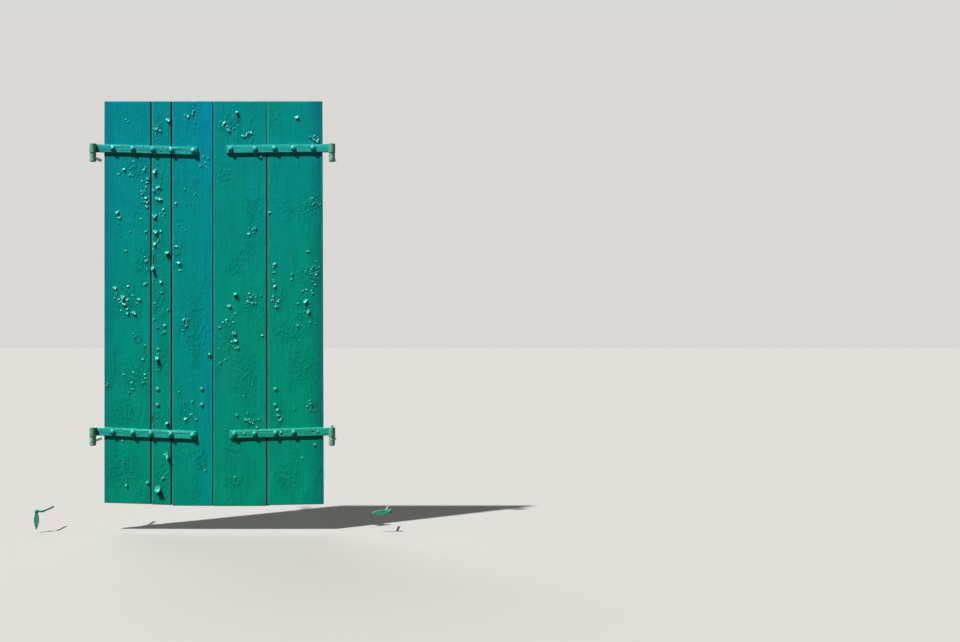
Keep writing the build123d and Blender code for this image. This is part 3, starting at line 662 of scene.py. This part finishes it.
def thickened(thing):
    """Gives loose paint its thickness, with crisp broken edges."""
    film = thing.modifiers.new("film", "SOLIDIFY")
    film.thickness = FLAP_THICKNESS
    film.offset = 0
    solid = bpy.data.meshes.new_from_object(thing.evaluated_get(bpy.context.evaluated_depsgraph_get()))
    thing.modifiers.clear()
    thing.data = solid
    solid.name = thing.name
    solid.set_sharp_from_angle(angle=math.radians(FLAP_EDGE_ANGLE))
    return thing


def flaps(name):
    """All the lifted flaps, curls and small chips of one board, as one piece."""
    left, right = BOARDS[name][:2]
    pieces = []
    for column, row, size in FLAPS[name]:
        width = metres(size) * rng.uniform(*FLAP_WIDENED)
        length = width * rng.uniform(*FLAP_LENGTH)
        turn = math.radians(rng.uniform(*FLAP_TURN))
        start = rng.uniform(*FLAP_START)
        end = rng.uniform(*FLAP_END)
        pieces.append(flap_grid(from_photo(column, row), width, length, turn, start, end, FLAP_GRID))
    for column, row, wide, long, lift in CURLS[name]:
        spot = from_photo(column, row)
        turn = math.radians(rng.uniform(*CURL_TURN))
        end = CURL_WINDING * lift / long
        pieces.append(flap_grid(spot, metres(wide), metres(long), turn, LOOSE_START, end, CURL_GRID))
    for column, row, half_width, half_height, count in CLUSTERS[name]:
        for _ in range(count):
            chip_column = column + half_width * rng.normal(0, CHIP_SPREAD)
            chip_row = row + half_height * rng.normal(0, CHIP_SPREAD)
            spot = from_photo(chip_column, chip_row)
            if not left + CHIP_FROM_EDGE < spot[0] < right - CHIP_FROM_EDGE:
                continue
            width = rng.uniform(*CHIP_WIDTH)
            length = width * rng.uniform(*CHIP_LENGTH)
            turn = math.radians(rng.uniform(*CHIP_TURN))
            end = rng.uniform(*CHIP_END)
            pieces.append(flap_grid(spot, width, length, turn, LOOSE_START, end, CHIP_GRID))
    return thickened(join(pieces, name + "_flaps"))


def joint_filler():
    """Paint and putty that close the right leaf's joint above its upper strap."""
    low = EYE_Z["upper"] + STRAP_HALF - FILLER_BELOW
    columns, rows = FILLER_GRID
    x, z = np.meshgrid(np.linspace(*FILLER_EDGES, columns), np.linspace(low, LEAF_TOP, rows))
    arch = 1 - ((x - FILLER_MIDDLE) / FILLER_HALF) ** 2
    height = FILLER_HEIGHT * arch + FILLER_LUMPS * layered(x, z, FILLER_CELL, FILLER_SEED)
    y = FRONT_Y + FILLER_DEPTH - height
    none = np.zeros_like(x)
    layers = {"bare": none, "hollow": FILLER_DIRT * arch, "gap": none}
    return grid_object("right_joint_filler", x, y, z, layers)


def strap_level(name, along):
    """The height of a strap's middle at a distance from its hinge axis."""
    _, length, drop, _ = STRAPS[name]
    return EYE_Z[name.split("_")[0]] - drop * np.maximum(0, along - LEVEL_RUN) / (length - LEVEL_RUN)


def strap_paint_over(name, seed):
    """Thick brushed paint over a strap's bar, with the brush's long lines."""
    side, length, _, bolts = STRAPS[name]
    along = spaced(STRAP_START, length, STRAP_STEPS[0], STRAP_ARRIS)
    across = spaced(-STRAP_HALF, STRAP_HALF, STRAP_STEPS[1], STRAP_ARRIS)
    a, c = np.meshgrid(along, across)
    x = side * (HINGE_X - a)
    z = strap_level(name, a) + c
    height = BRUSH_HEIGHT * layered(a, c, BRUSH_CELL, seed, 2)
    height += RIDGE_HEIGHT * noise(a, c, RIDGE_CELL, seed + 1)
    bead = BEAD_SHARE + BEAD_UNEVEN * noise(a, 0 * c, BEAD_CELL, seed + 5)
    height += BEAD_HEIGHT * bead * bell(c + STRAP_HALF - BEAD_ABOVE_EDGE, BEAD_WIDTH)
    pits = unit(noise(a, c, PIT_CELL, seed + 2) - PIT_FROM)
    height += LUMP_HEIGHT * unit(noise(a, c, LUMP_CELL, seed + 3) - LUMP_FROM) - PIT_DEPTH * pits
    bare = unit(PIT_RUST * pits - PIT_RUST_FROM)
    for bolt in bolts:
        height += POOL_HEIGHT * bell(np.hypot(a - bolt, c) - POOL_RADIUS, POOL_WIDTH)
    if name == "lower_right":
        hole = np.hypot(a - EMPTY_HOLE_ALONG, c) / EMPTY_HOLE_RADIUS
        height -= HOLE_DEPTH * unit(HOLE_REACH - hole)
        bare = np.maximum(bare, unit(HOLE_RUST[0] - HOLE_RUST[1] * hole))
    sides = [FRONT_Y - STRAP_SINK] * 4
    return skin(name + "_strap_paint", x, z, (height, bare), STRAP_FRONT_Y, STRAP_ARRIS, sides, STRAP_PAINT,
                bevelled=STRAP_BEVELLED, low_arris=STRAP_LOW_ARRIS)


def eye_paint_over(name, seed):
    """Paint round the eye that a strap's bar is rolled into."""
    side = STRAPS[name][0]
    half = STRAP_HALF + EYE_OVERHANG
    turn = np.radians(np.linspace(*EYE_TURN, EYE_STEPS))
    t, c = np.meshgrid(turn, spaced(-half, half, EYE_STEP, EYE_RIM))
    rim = unit(1 - (half - np.abs(c)) / EYE_RIM)
    radius = EYE_RADIUS + EYE_PAINT - EYE_RIM * (1 - np.sqrt(1 - rim**2)) * EYE_RIM_FALL
    radius += EYE_LUMPS * layered(t, c, EYE_CELL, seed) * (1 - rim)
    x = side * (HINGE_X - radius * np.sin(t))
    y = HINGE_Y - radius * np.cos(t)
    z = EYE_Z[name.split("_")[0]] + c
    bare = RIM_WEAR * rim * (noise(t, c, RIM_WEAR_CELL, seed + 1) > RIM_WEAR_FROM)
    return grid_object(name + "_eye_paint", x, y, z, {"bare": bare, "hollow": np.zeros_like(x)})


def low_bracket_bolts(side_name):
    """The solids' bracket bolts of one leaf, with heads as low and narrow as the photograph's."""
    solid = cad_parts[side_name + "_bracket_bolts"]
    mesh = solid.data.copy()
    mesh.transform(solid.matrix_world)
    points = np.empty(3 * len(mesh.vertices))
    mesh.vertices.foreach_get("co", points)
    x, depth, z = points[0::3], points[1::3], points[2::3]
    for head_x in BRACKET_COLUMNS:
        for head_z in BRACKET_LEVELS:
            head = (depth < FRONT_Y) & (np.hypot(x - head_x, z - head_z) < HEAD_REACH)
            x[head] = head_x + NARROW_HEAD * (x[head] - head_x)
            z[head] = head_z + NARROW_HEAD * (z[head] - head_z)
            depth[head] = FRONT_Y + LOW_HEAD * (depth[head] - FRONT_Y)
    mesh.vertices.foreach_set("co", points)
    thing = linked(side_name + "_low_bolts", mesh)
    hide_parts(side_name + "_bracket_bolts")
    return thing


def dome_paint(px, pz, seat_y, seed, low=1.0, narrow=1.0):
    """Paint over one domed bolt head, with a little pool round its foot."""
    t, s = np.meshgrid(np.linspace(0, 2 * math.pi, DOME_SIDES), np.linspace(0, 1, DOME_RINGS))
    skirt = s / SKIRT_SHARE
    in_skirt = s < SKIRT_SHARE
    up = unit((s - SKIRT_SHARE) / (1 - SKIRT_SHARE)) * math.pi / 2
    skirt_radius = SKIRT_RADIUS - SKIRT_NARROWING * skirt**0.5
    radius = np.where(in_skirt, skirt_radius, DOME_RADIUS * np.cos(up) ** DOME_POWER)
    out = np.where(in_skirt, SKIRT_START + SKIRT_RISE * skirt**2, DOME_START + DOME_RISE * np.sin(up))
    lumps_x = LUMPS_AT + LUMPS_ROUND * np.cos(t)
    lumps_z = LUMPS_AT + LUMPS_ROUND * np.sin(t) + LUMPS_UP * s
    lump = 1 + DOME_LUMPS * noise(lumps_x, lumps_z, (1, 1), seed)
    x = px + narrow * radius * lump * np.cos(t)
    z = pz + narrow * radius * lump * np.sin(t)
    y = seat_y - low * out * (1 + LUMPS_OUTWARD * (lump - 1))
    # Darker round the foot of the dome
    darkened_foot = np.where(s < DARKENED_UP_TO, DOME_FOOT_DARKENING, 0.0)
    return grid_object("dome", x, y, z, {"bare": np.zeros_like(x), "hollow": darkened_foot})


def bolt_paint(side_name):
    """Paint over all the bolt heads of one leaf."""
    side = -1 if side_name == "left" else 1
    pieces = []
    for name, (strap_side, _, _, bolts) in STRAPS.items():
        if strap_side == side:
            for along in bolts:
                x, z = side * (HINGE_X - along), float(strap_level(name, along))
                seed = STRAP_BOLT_SEED + len(pieces) + SIDE_SEED * side
                pieces.append(dome_paint(x, z, STRAP_FRONT_Y, seed))
    for x in BRACKET_COLUMNS:
        if x * side > 0:
            for z in BRACKET_LEVELS:
                seed = BRACKET_BOLT_SEED + len(pieces) + SIDE_SEED * side
                pieces.append(dome_paint(x, z, FRONT_Y, seed, LOW_HEAD, NARROW_HEAD))
    return join(pieces, side_name + "_bolt_paint")


# Materials


def linear(*display):
    """A colour given as 0 to 255 display values, in the linear values that shaders use."""
    return tuple(v / 255 / 12.92 if v <= 10 else ((v / 255 + 0.055) / 1.055) ** 2.4 for v in display)


def grey(value):
    return (value, value, value)


def teals(*blues, red=0, green=133):
    """Colours that differ in blue only."""
    return tuple(linear(red, green, blue) for blue in blues)


# The paint's colours high up, in the middle and at the foot
INNER_TEAL = teals(140, 119, 105)
BOARD_TEAL = {
    "left_board_1": teals(145, 122, 110),
    "left_board_2": teals(140, 121, 106),
    "left_board_3": teals(148, 127, 110),
    "right_board_1": teals(132, 115, 105),
    "right_board_2": teals(127, 111, 104),
}
STRAP_TEAL = (linear(20, 148, 148), linear(20, 148, 134), linear(18, 146, 118))
EYE_GREEN = (linear(80, 146, 126), linear(76, 140, 114), linear(70, 134, 104))
LOOSE_TEAL = teals(134, 117, 104, red=8, green=128)
STRAP_TINT = {
    "upper_left": (1.0, 1.07, 1.09),
    "lower_left": (1.2, 1.15, 1.42),
    "upper_right": (1.0, 1.18, 1.15),
    "lower_right": (1.0, 1.02, 1.05),
}
# A board's colour beside one of its edges, painted shade beside the outer boards' hinge edges and a bluer
# tint beside left_board_3's meeting edge: the edge's x, and the colour that the paint is multiplied by there
EDGE_PAINTED_SHADE_AND_TINT = {
    "left_board_1": (-0.470, (0.90, 0.78, 0.90)),
    "left_board_3": (-0.002, (1.0, 1.0, 1.22)),
    "right_board_2": (0.473, (0.80, 0.56, 0.78)),
}
EDGE_SHADE_REACH = 0.075
EDGE_SHADE_POWER = 1.3
# The lighter teal of the board edges: wear and a painted highlight
WEAR_AND_HIGHLIGHT_TEAL = linear(74, 166, 160)
SPECK_TEAL = linear(60, 160, 140)
# Darker green laid where the 'hollow' attribute says: the relief's hollows, the bolts' feet and the filled
# joint
DARKENED_GREEN = linear(0, 62, 50)
# Dark greens in the joints and gaps between boards: dirt and painted shade
JOINT_DIRT_AND_SHADE = linear(0, 34, 26)
GAP_DIRT_AND_SHADE = linear(0, 40, 32)
GAP_SHARPNESS = 8.0
UNDERCOAT = linear(110, 134, 92)
OLD_GREEN = linear(10, 96, 84)
BARE_WOOD = linear(40, 52, 38)
DARK_IRON = linear(26, 30, 24)
RUST = linear(84, 62, 42)
CHALK = linear(78, 142, 130)
FADED_EYE = linear(118, 158, 140)
FADED_PINTLE = linear(150, 184, 176)
FADED_DOG = linear(60, 140, 100)
STRAP_WEAR = 0.12
BARE_FROM = 0.35
BARE_SHARPNESS = 4.0
GLOSS_TINT = (0.15, 0.95, 0.90)
GLOSS = 0.35
IRON_GLOSS_TINT = (0.62, 0.97, 0.94)
IRON_GLOSS = 0.42
# Patterns that multiply the paint's colour: share, noise (scale, detail, stretch), low stop, high stop
COOL_PATCHES = (1.0, (5, 3, (1, 1, 0.15)), (0.42, (1.0, 1.0, 0.97)), (0.68, (1.0, 1.0, 1.14)))
MOTTLE = (0.8, (16, 5, (1, 1, 0.35)), (0.25, (0.82, 0.86, 0.85)), (0.75, (1.14, 1.10, 1.11)))
STREAKS = (0.8, (150, 4, (1, 1, 0.05)), (0.3, 0.88), (0.7, 1.10))
BOARD_PATTERNS = (COOL_PATCHES, MOTTLE, STREAKS)
IRON_MOTTLE = (0.9, (55, 4), (0.3, (0.80, 0.84, 0.83)), (0.72, 1.14))
BRUSH_LINES = (0.8, (190, 3, (0.07, 1, 1)), (0.35, 0.85), (0.65, 1.14))
IRON_PATTERNS = (IRON_MOTTLE, BRUSH_LINES)
# The heights between which the paint's colour changes
TINT_FOOT = -0.9
TINT_TOP = 0.85
# A colour mix's sockets by number, because its other kinds of data use the same names
MIX_SOCKETS = (0, 6, 7)
MIXED = 2


class Nodes:
    """A material's node tree with short ways to add to it."""

    def __init__(self, name, gloss_tint=GLOSS_TINT, gloss=GLOSS):
        self.material = bpy.data.materials.new(name)
        self.material.use_nodes = True
        self.tree = self.material.node_tree
        self.tree.nodes.clear()
        output = self.add("OutputMaterial")
        looks = {"Specular Tint": (*gloss_tint, 1), "Specular IOR Level": gloss}
        self.shader = self.add("BsdfPrincipled", looks)
        self.link((self.shader, "BSDF"), output, "Surface")
        self.place = self.add("TexCoord")

    def add(self, kind, inputs=None, **settings):
        """Adds a node with the plain values of its inputs and its settings."""
        node = self.tree.nodes.new("ShaderNode" + kind)
        for key, value in settings.items():
            setattr(node, key, value)
        for key, value in (inputs or {}).items():
            node.inputs[key].default_value = value
        return node

    def link(self, source, target, socket):
        """Links (node, output) to a node's socket."""
        self.tree.links.new(source[0].outputs[source[1]], target.inputs[socket])

    def noise(self, scale, detail, stretch=(1, 1, 1), rough=0.55, distortion=0.0):
        """Noise over object coordinates; scale is in cells per metre."""
        mapping = self.add("Mapping", {"Scale": stretch})
        self.link((self.place, "Object"), mapping, "Vector")
        inputs = {"Scale": scale, "Detail": detail, "Roughness": rough, "Distortion": distortion}
        node = self.add("TexNoise", inputs)
        self.link((mapping, "Vector"), node, "Vector")
        return node, "Fac"

    def attribute(self, name):
        return self.add("Attribute", attribute_name=name), "Fac"

    def ramp(self, source, *stops):
        """A colour ramp; stops are (position, colour or grey value)."""
        node = self.add("ValToRGB")
        elements = node.color_ramp.elements
        while len(elements) < len(stops):
            elements.new(0.5)
        for element, (position, colour) in zip(elements, stops):
            element.position = position
            element.color = (*(colour if isinstance(colour, tuple) else grey(colour)), 1)
        self.link(source, node, "Fac")
        return node, "Color"

    def mix(self, kind, share, first, second):
        """A colour mix; each of share, first and second is (node, output) or a plain value."""
        node = self.add("Mix", data_type="RGBA", blend_type=kind)
        for socket, value in zip(MIX_SOCKETS, (share, first, second)):
            if isinstance(value, (int, float)):
                node.inputs[socket].default_value = value
            elif isinstance(value[0], (int, float)):
                node.inputs[socket].default_value = (*value, 1)
            else:
                self.link(value, node, socket)
        return node, MIXED

    def maths(self, operation, first, second=0.5, clamp=False):
        """A sum of one or two values; each is (node, output) or a plain number."""
        node = self.add("Math", operation=operation, use_clamp=clamp)
        for socket, value in enumerate((first, second)):
            if isinstance(value, tuple):
                self.link(value, node, socket)
            else:
                node.inputs[socket].default_value = value
        return node, "Value"

    def times(self, first, second, clamp=False):
        return self.maths("MULTIPLY", first, second, clamp)

    def laid(self, colour, over, where, share):
        """A colour with another laid over it where (node, output) is 1, as thickly as share says."""
        return self.mix("MIX", self.times(where, share), colour, over)

    def axis(self, letter):
        split = self.add("SeparateXYZ")
        self.link((self.place, "Object"), split, "Vector")
        return split, letter

    def bump(self, strength, distance, source, onto=None):
        """A bump from source, as high as distance in metres, over the bump onto."""
        node = self.add("Bump", {"Strength": strength, "Distance": distance})
        self.link(source, node, "Height")
        if onto is not None:
            self.link(onto, node, "Normal")
        return node, "Normal"

    def bare_share(self):
        """1 where the paint is gone."""
        above = self.maths("SUBTRACT", self.attribute("bare"), BARE_FROM)
        return self.times(above, BARE_SHARPNESS, clamp=True)

    def dull_where(self, share):
        """Takes the gloss away where share, (node, output), is 1."""
        gloss = self.times(self.maths("SUBTRACT", 1.0, share), GLOSS)
        self.link(gloss, self.shader, "Specular IOR Level")

    def near_edge(self, edge_x):
        """1 at a board's edge, falling to 0 at EDGE_SHADE_REACH from it."""
        away = self.maths("ABSOLUTE", self.maths("SUBTRACT", self.axis("X"), edge_x))
        share = self.maths("SUBTRACT", 1.0, self.maths("DIVIDE", away, EDGE_SHADE_REACH), clamp=True)
        return self.maths("POWER", share, EDGE_SHADE_POWER)

    def patterned(self, colour, patterns):
        """A colour multiplied by patterns of noise, as BOARD_PATTERNS has them."""
        for share, noise_settings, low, high in patterns:
            colour = self.mix("MULTIPLY", share, colour, self.ramp(self.noise(*noise_settings), low, high))
        return colour

    def height_tint(self, top, middle, foot):
        """The paint's colour by height: bluer high up, greener at the foot, with an uneven border."""
        sway = self.times(self.maths("SUBTRACT", self.noise(3.0, 2.0), 0.5), 0.5)
        level = self.maths("ADD", self.axis("Z"), sway)
        share = self.add("MapRange", {"From Min": TINT_FOOT, "From Max": TINT_TOP})
        self.link(level, share, "Value")
        return self.ramp((share, "Result"), (0.0, foot), (0.5, middle), (1.0, top))

    def finished(self, colour, roughness, normal):
        """The material with its colour, roughness and normal linked."""
        self.link(colour, self.shader, "Base Color")
        self.link(normal, self.shader, "Normal")
        if isinstance(roughness, float):
            self.shader.inputs["Roughness"].default_value = roughness
        else:
            self.link(roughness, self.shader, "Roughness")
        return self.material


def board_paint(name, teal, in_joints=False, shade=None):
    """Old glossy oil paint over boards: darker in the hollows, lighter at the edges for wear and a painted
    highlight, painted shade and dirt in the gaps, and undercoat and wood where it is gone.
    """
    n = Nodes(name)
    colour = n.patterned(n.height_tint(*teal), BOARD_PATTERNS)
    # Painted shade near a hinge edge; for left_board_3 a bluer tint near its meeting edge
    if shade:
        edge_x, tint = shade
        colour = n.mix("MULTIPLY", n.near_edge(edge_x), colour, tint)
    if not in_joints:
        # Lighter paint along the side edges, for wear and a painted highlight
        wear = n.ramp(n.noise(60, 3, (1, 1, 0.3)), (0.30, 0.55), (0.60, 1.0))
        colour = n.laid(colour, WEAR_AND_HIGHLIGHT_TEAL, n.times(n.attribute("wear_and_highlight"), wear), share=0.55)
    specks = n.ramp(n.noise(330, 2), (0.66, 0), (0.74, 1))
    colour = n.laid(colour, SPECK_TEAL, specks, share=0.35)
    colour = n.laid(colour, DARKENED_GREEN, n.attribute("hollow"), share=0.4)
    bare = n.bare_share()
    under = n.ramp(n.noise(220, 3, (1, 1, 0.25)), (0.44, BARE_WOOD), (0.60, OLD_GREEN), (0.72, UNDERCOAT))
    colour = n.mix("MIX", bare, colour, under)
    roughness = n.ramp(n.noise(40, 4), (0.3, 0.26), (0.7, 0.42))
    roughness = n.mix("MIX", bare, roughness, grey(0.85))
    if in_joints:
        # Inside the joints the solids' paint is darkened for dirt and painted shade, and its gloss is taken
        # away
        front = n.maths("GREATER_THAN", n.axis("Y"), FRONT_Y - 0.001)
        back = n.maths("LESS_THAN", n.axis("Y"), INNER_Y - 0.002)
        inside = n.times(front, back)
        colour = n.laid(colour, JOINT_DIRT_AND_SHADE, inside, share=0.85)
        n.dull_where(inside)
    else:
        # The film's sides in the gaps get dirt and painted shade, and lose their gloss
        gap = n.times(n.attribute("gap"), GAP_SHARPNESS, clamp=True)
        colour = n.laid(colour, GAP_DIRT_AND_SHADE, gap, share=0.8)
        n.dull_where(gap)
    lumps = n.bump(0.35, 0.0014, n.noise(95, 4, (1, 1, 0.35), rough=0.6, distortion=1.0))
    brush = n.bump(0.28, 0.0007, n.noise(420, 3, (1, 1, 0.06)), onto=lumps)
    return n.finished(colour, roughness, brush)


def iron_paint(name, wear, faded=None, fade_share=0.0, teal=STRAP_TEAL):
    """The same paint over iron: lumpy, lighter, brushed along the bar, worn through to rust in specks."""
    n = Nodes(name, IRON_GLOSS_TINT, IRON_GLOSS)
    colour = n.patterned(n.height_tint(*teal), IRON_PATTERNS)
    if faded:
        patches = n.ramp(n.noise(70, 4), (0.35, 0), (0.60, fade_share))
        colour = n.mix("MIX", patches, colour, faded)
    # Darker where the 'hollow' attribute says
    colour = n.laid(colour, DARKENED_GREEN, n.attribute("hollow"), share=0.6)
    specks = n.ramp(n.noise(260, 4, rough=0.65), (0.66 - wear / 3, 0), (0.74 - wear / 3, 1))
    bare = n.maths("MAXIMUM", n.bare_share(), n.times(specks, min(1.0, wear * 4)))
    rust = n.ramp(n.noise(500, 2), (0.4, DARK_IRON), (0.7, RUST))
    colour = n.mix("MIX", bare, colour, rust)
    roughness = n.ramp(n.noise(60, 4), (0.3, 0.24), (0.7, 0.40))
    roughness = n.mix("MIX", bare, roughness, grey(0.8))
    lumps = n.bump(0.50, 0.0015, n.noise(120, 4, rough=0.6, distortion=0.8))
    fine = n.bump(0.30, 0.0005, n.noise(420, 3, (0.3, 1, 1)), onto=lumps)
    return n.finished(colour, roughness, fine)


def flap_paint(name):
    """A flap of loose paint: teal skin, with chalky pale places where it has weathered."""
    n = Nodes(name)
    colour = n.height_tint(*LOOSE_TEAL)
    chalk = n.ramp(n.noise(180, 3), (0.45, 0), (0.70, 0.6))
    colour = n.mix("MIX", chalk, colour, CHALK)
    return n.finished(colour, 0.30, n.bump(0.3, 0.0006, n.noise(400, 2)))


def dress(thing, material):
    thing.data.materials.clear()
    thing.data.materials.append(material)


def place(thing, material, body):
    """Dresses a new piece and lets it ride on its body."""
    dress(thing, material)
    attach(thing, body)


# The paint on the boards and the loose paint
loose_paint = flap_paint("loose_paint")
strap_paint = iron_paint("strap_paint", wear=STRAP_WEAR)
eye_coat = iron_paint("eye_paint", wear=0.22, faded=FADED_EYE, fade_share=0.4, teal=EYE_GREEN)
dome_coat = iron_paint("bolt_paint", wear=0.08)
film_paint = {}
for name, teal in BOARD_TEAL.items():
    film_paint[name] = board_paint(name + "_film", teal, shade=EDGE_PAINTED_SHADE_AND_TINT.get(name))
for number, name in enumerate(BOARDS):
    body = name.split("_")[0] + "_leaf"
    place(board_film(name, BOARD_SEED * (number + 1)), film_paint[name], body)
    place(flaps(name), loose_paint, body)
place(joint_filler(), film_paint["right_board_1"], "right_leaf")

# The paint on the irons of the leaves
for number, name in enumerate(STRAPS):
    body = name.split("_")[1] + "_leaf"
    tinted = [tuple(np.multiply(colour, STRAP_TINT[name])) for colour in STRAP_TEAL]
    coat = iron_paint(name + "_strap_paint", wear=STRAP_WEAR, teal=tinted)
    place(strap_paint_over(name, STRAP_SEED + STRAP_SEED_STEP * number), coat, body)
    place(eye_paint_over(name, EYE_SEED + STRAP_SEED_STEP * number), eye_coat, body)
for side_name in ("left", "right"):
    place(bolt_paint(side_name), dome_coat, side_name + "_leaf")
    place(low_bracket_bolts(side_name), dome_coat, side_name + "_leaf")

# The paint of the solids
inner_paint = board_paint("inner_board_paint", INNER_TEAL, in_joints=True)
pintle_paint = iron_paint("pintle_paint", wear=0.25, faded=FADED_PINTLE, fade_share=0.65, teal=EYE_GREEN)
fastener_paint = iron_paint("fastener_paint", wear=0.10)
bar_paint = iron_paint("bar_paint", wear=0.35)
dog_paint = iron_paint("dog_paint", wear=0.45, faded=FADED_DOG, fade_share=0.5)
for name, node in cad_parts.items():
    if "_board_" in name or name.endswith("_ledger"):
        dress(node, inner_paint)
    elif "dog" in name:
        dress(node, dog_paint)
    elif "pintle" in name:
        dress(node, pintle_paint)
    elif name.startswith("bar_") or name == "locking_bar" or name.endswith("_bar_hook"):
        dress(node, bar_paint)
    elif name.endswith("_strap"):
        dress(node, strap_paint)
    else:
        dress(node, fastener_paint)

# Floor, world, lamps and camera
FLOOR_GAP = 0.012
FLOOR_LEVEL = CAD_BOX[0][2] - FLOOR_GAP
FLOOR_REACH = 40.0
PALE = (0.70, 0.69, 0.67)
FLOOR_SEEN = (0.285, 0.281, 0.275)
FLOOR_BOUNCE = (0.02, 0.02, 0.019)
WORLD_LIGHT = 0.07
WORLD_COLOUR = (1.0, 0.97, 0.80)
# A sun is the direction its light travels in, its strength, its angle in degrees and its colour.
KEY_SUN = ((1.2, 1.0, -2.35), 8.45, 1.5, (1.0, 0.985, 0.96))
BACK_FILL = ((0.5, -1.0, -0.7), 2.0, 40, (1, 1, 1))


def seen_by_eye(tree):
    """1 for camera, glossy and transmission rays, and 0 for the light that falls on the object."""
    path = tree.nodes.new("ShaderNodeLightPath")
    share = path.outputs["Is Camera Ray"]
    for kind in ("Is Glossy Ray", "Is Transmission Ray"):
        larger = tree.nodes.new("ShaderNodeMath")
        larger.operation = "MAXIMUM"
        tree.links.new(share, larger.inputs[0])
        tree.links.new(path.outputs[kind], larger.inputs[1])
        share = larger.outputs[0]
    return share


def two_way(owner, output_kind, kind, lit, seen):
    """Gives a material or a world one shader for lighting and one for the eye, each (colour, strength)."""
    owner.use_nodes = True
    tree = owner.node_tree
    tree.nodes.clear()
    pick = tree.nodes.new("ShaderNodeMixShader")
    tree.links.new(seen_by_eye(tree), pick.inputs[0])
    for socket, (colour, strength) in enumerate((lit, seen), 1):
        shader = tree.nodes.new(kind)
        shader.inputs["Color"].default_value = (*colour, 1)
        if strength is not None:
            shader.inputs["Strength"].default_value = strength
        tree.links.new(shader.outputs[0], pick.inputs[socket])
    tree.links.new(pick.outputs[0], tree.nodes.new(output_kind).inputs[0])


def pale_floor():
    """A wide plain floor below the object."""
    mesh = bpy.data.meshes.new("floor")
    reach = FLOOR_REACH
    flat = ((-reach, -reach), (reach, -reach), (reach, reach), (-reach, reach))
    corners = [(x, y, FLOOR_LEVEL) for x, y in flat]
    mesh.from_pydata(corners, [], [(0, 1, 2, 3)])
    floor = linked("floor", mesh)
    material = bpy.data.materials.new("floor_paint")
    lit, seen = (FLOOR_BOUNCE, None), (FLOOR_SEEN, None)
    two_way(material, "ShaderNodeOutputMaterial", "ShaderNodeBsdfDiffuse", lit, seen)
    dress(floor, material)


def pale_world():
    """A pale world: weak even light on the object, and a plain pale background for the eye."""
    world = bpy.data.worlds.new("pale")
    bpy.context.scene.world = world
    two_way(world, "ShaderNodeOutputWorld", "ShaderNodeBackground", (WORLD_COLOUR, WORLD_LIGHT), (PALE, 1.0))


def sun(name, direction, strength, angle, colour):
    lamp = bpy.data.lights.new(name, "SUN")
    lamp.energy = strength
    lamp.angle = math.radians(angle)
    lamp.color = colour
    linked(name, lamp).rotation_euler = Vector(direction).to_track_quat("-Z", "Y").to_euler()


def photo_camera():
    """A camera square to the wall, where the photograph's centre is."""
    camera_data = bpy.data.cameras.new("photo_camera")
    camera_data.sensor_width = SENSOR_WIDTH_MM
    camera_data.lens = SENSOR_WIDTH_MM * CAMERA_DISTANCE / (PHOTO_WIDTH * PIXEL)
    camera_data.clip_end = CLIP_END
    camera = linked("photo_camera", camera_data)
    x, z = from_photo(PHOTO_WIDTH / 2, PHOTO_HEIGHT / 2)
    camera.location = (x, FRONT_Y - CAMERA_DISTANCE, z)
    camera.rotation_euler = (math.radians(90), 0, 0)
    bpy.context.scene.camera = camera


pale_floor()
pale_world()
sun("key", *KEY_SUN)
sun("back_fill", *BACK_FILL)
photo_camera()
bpy.context.scene.view_settings.view_transform = "Standard"
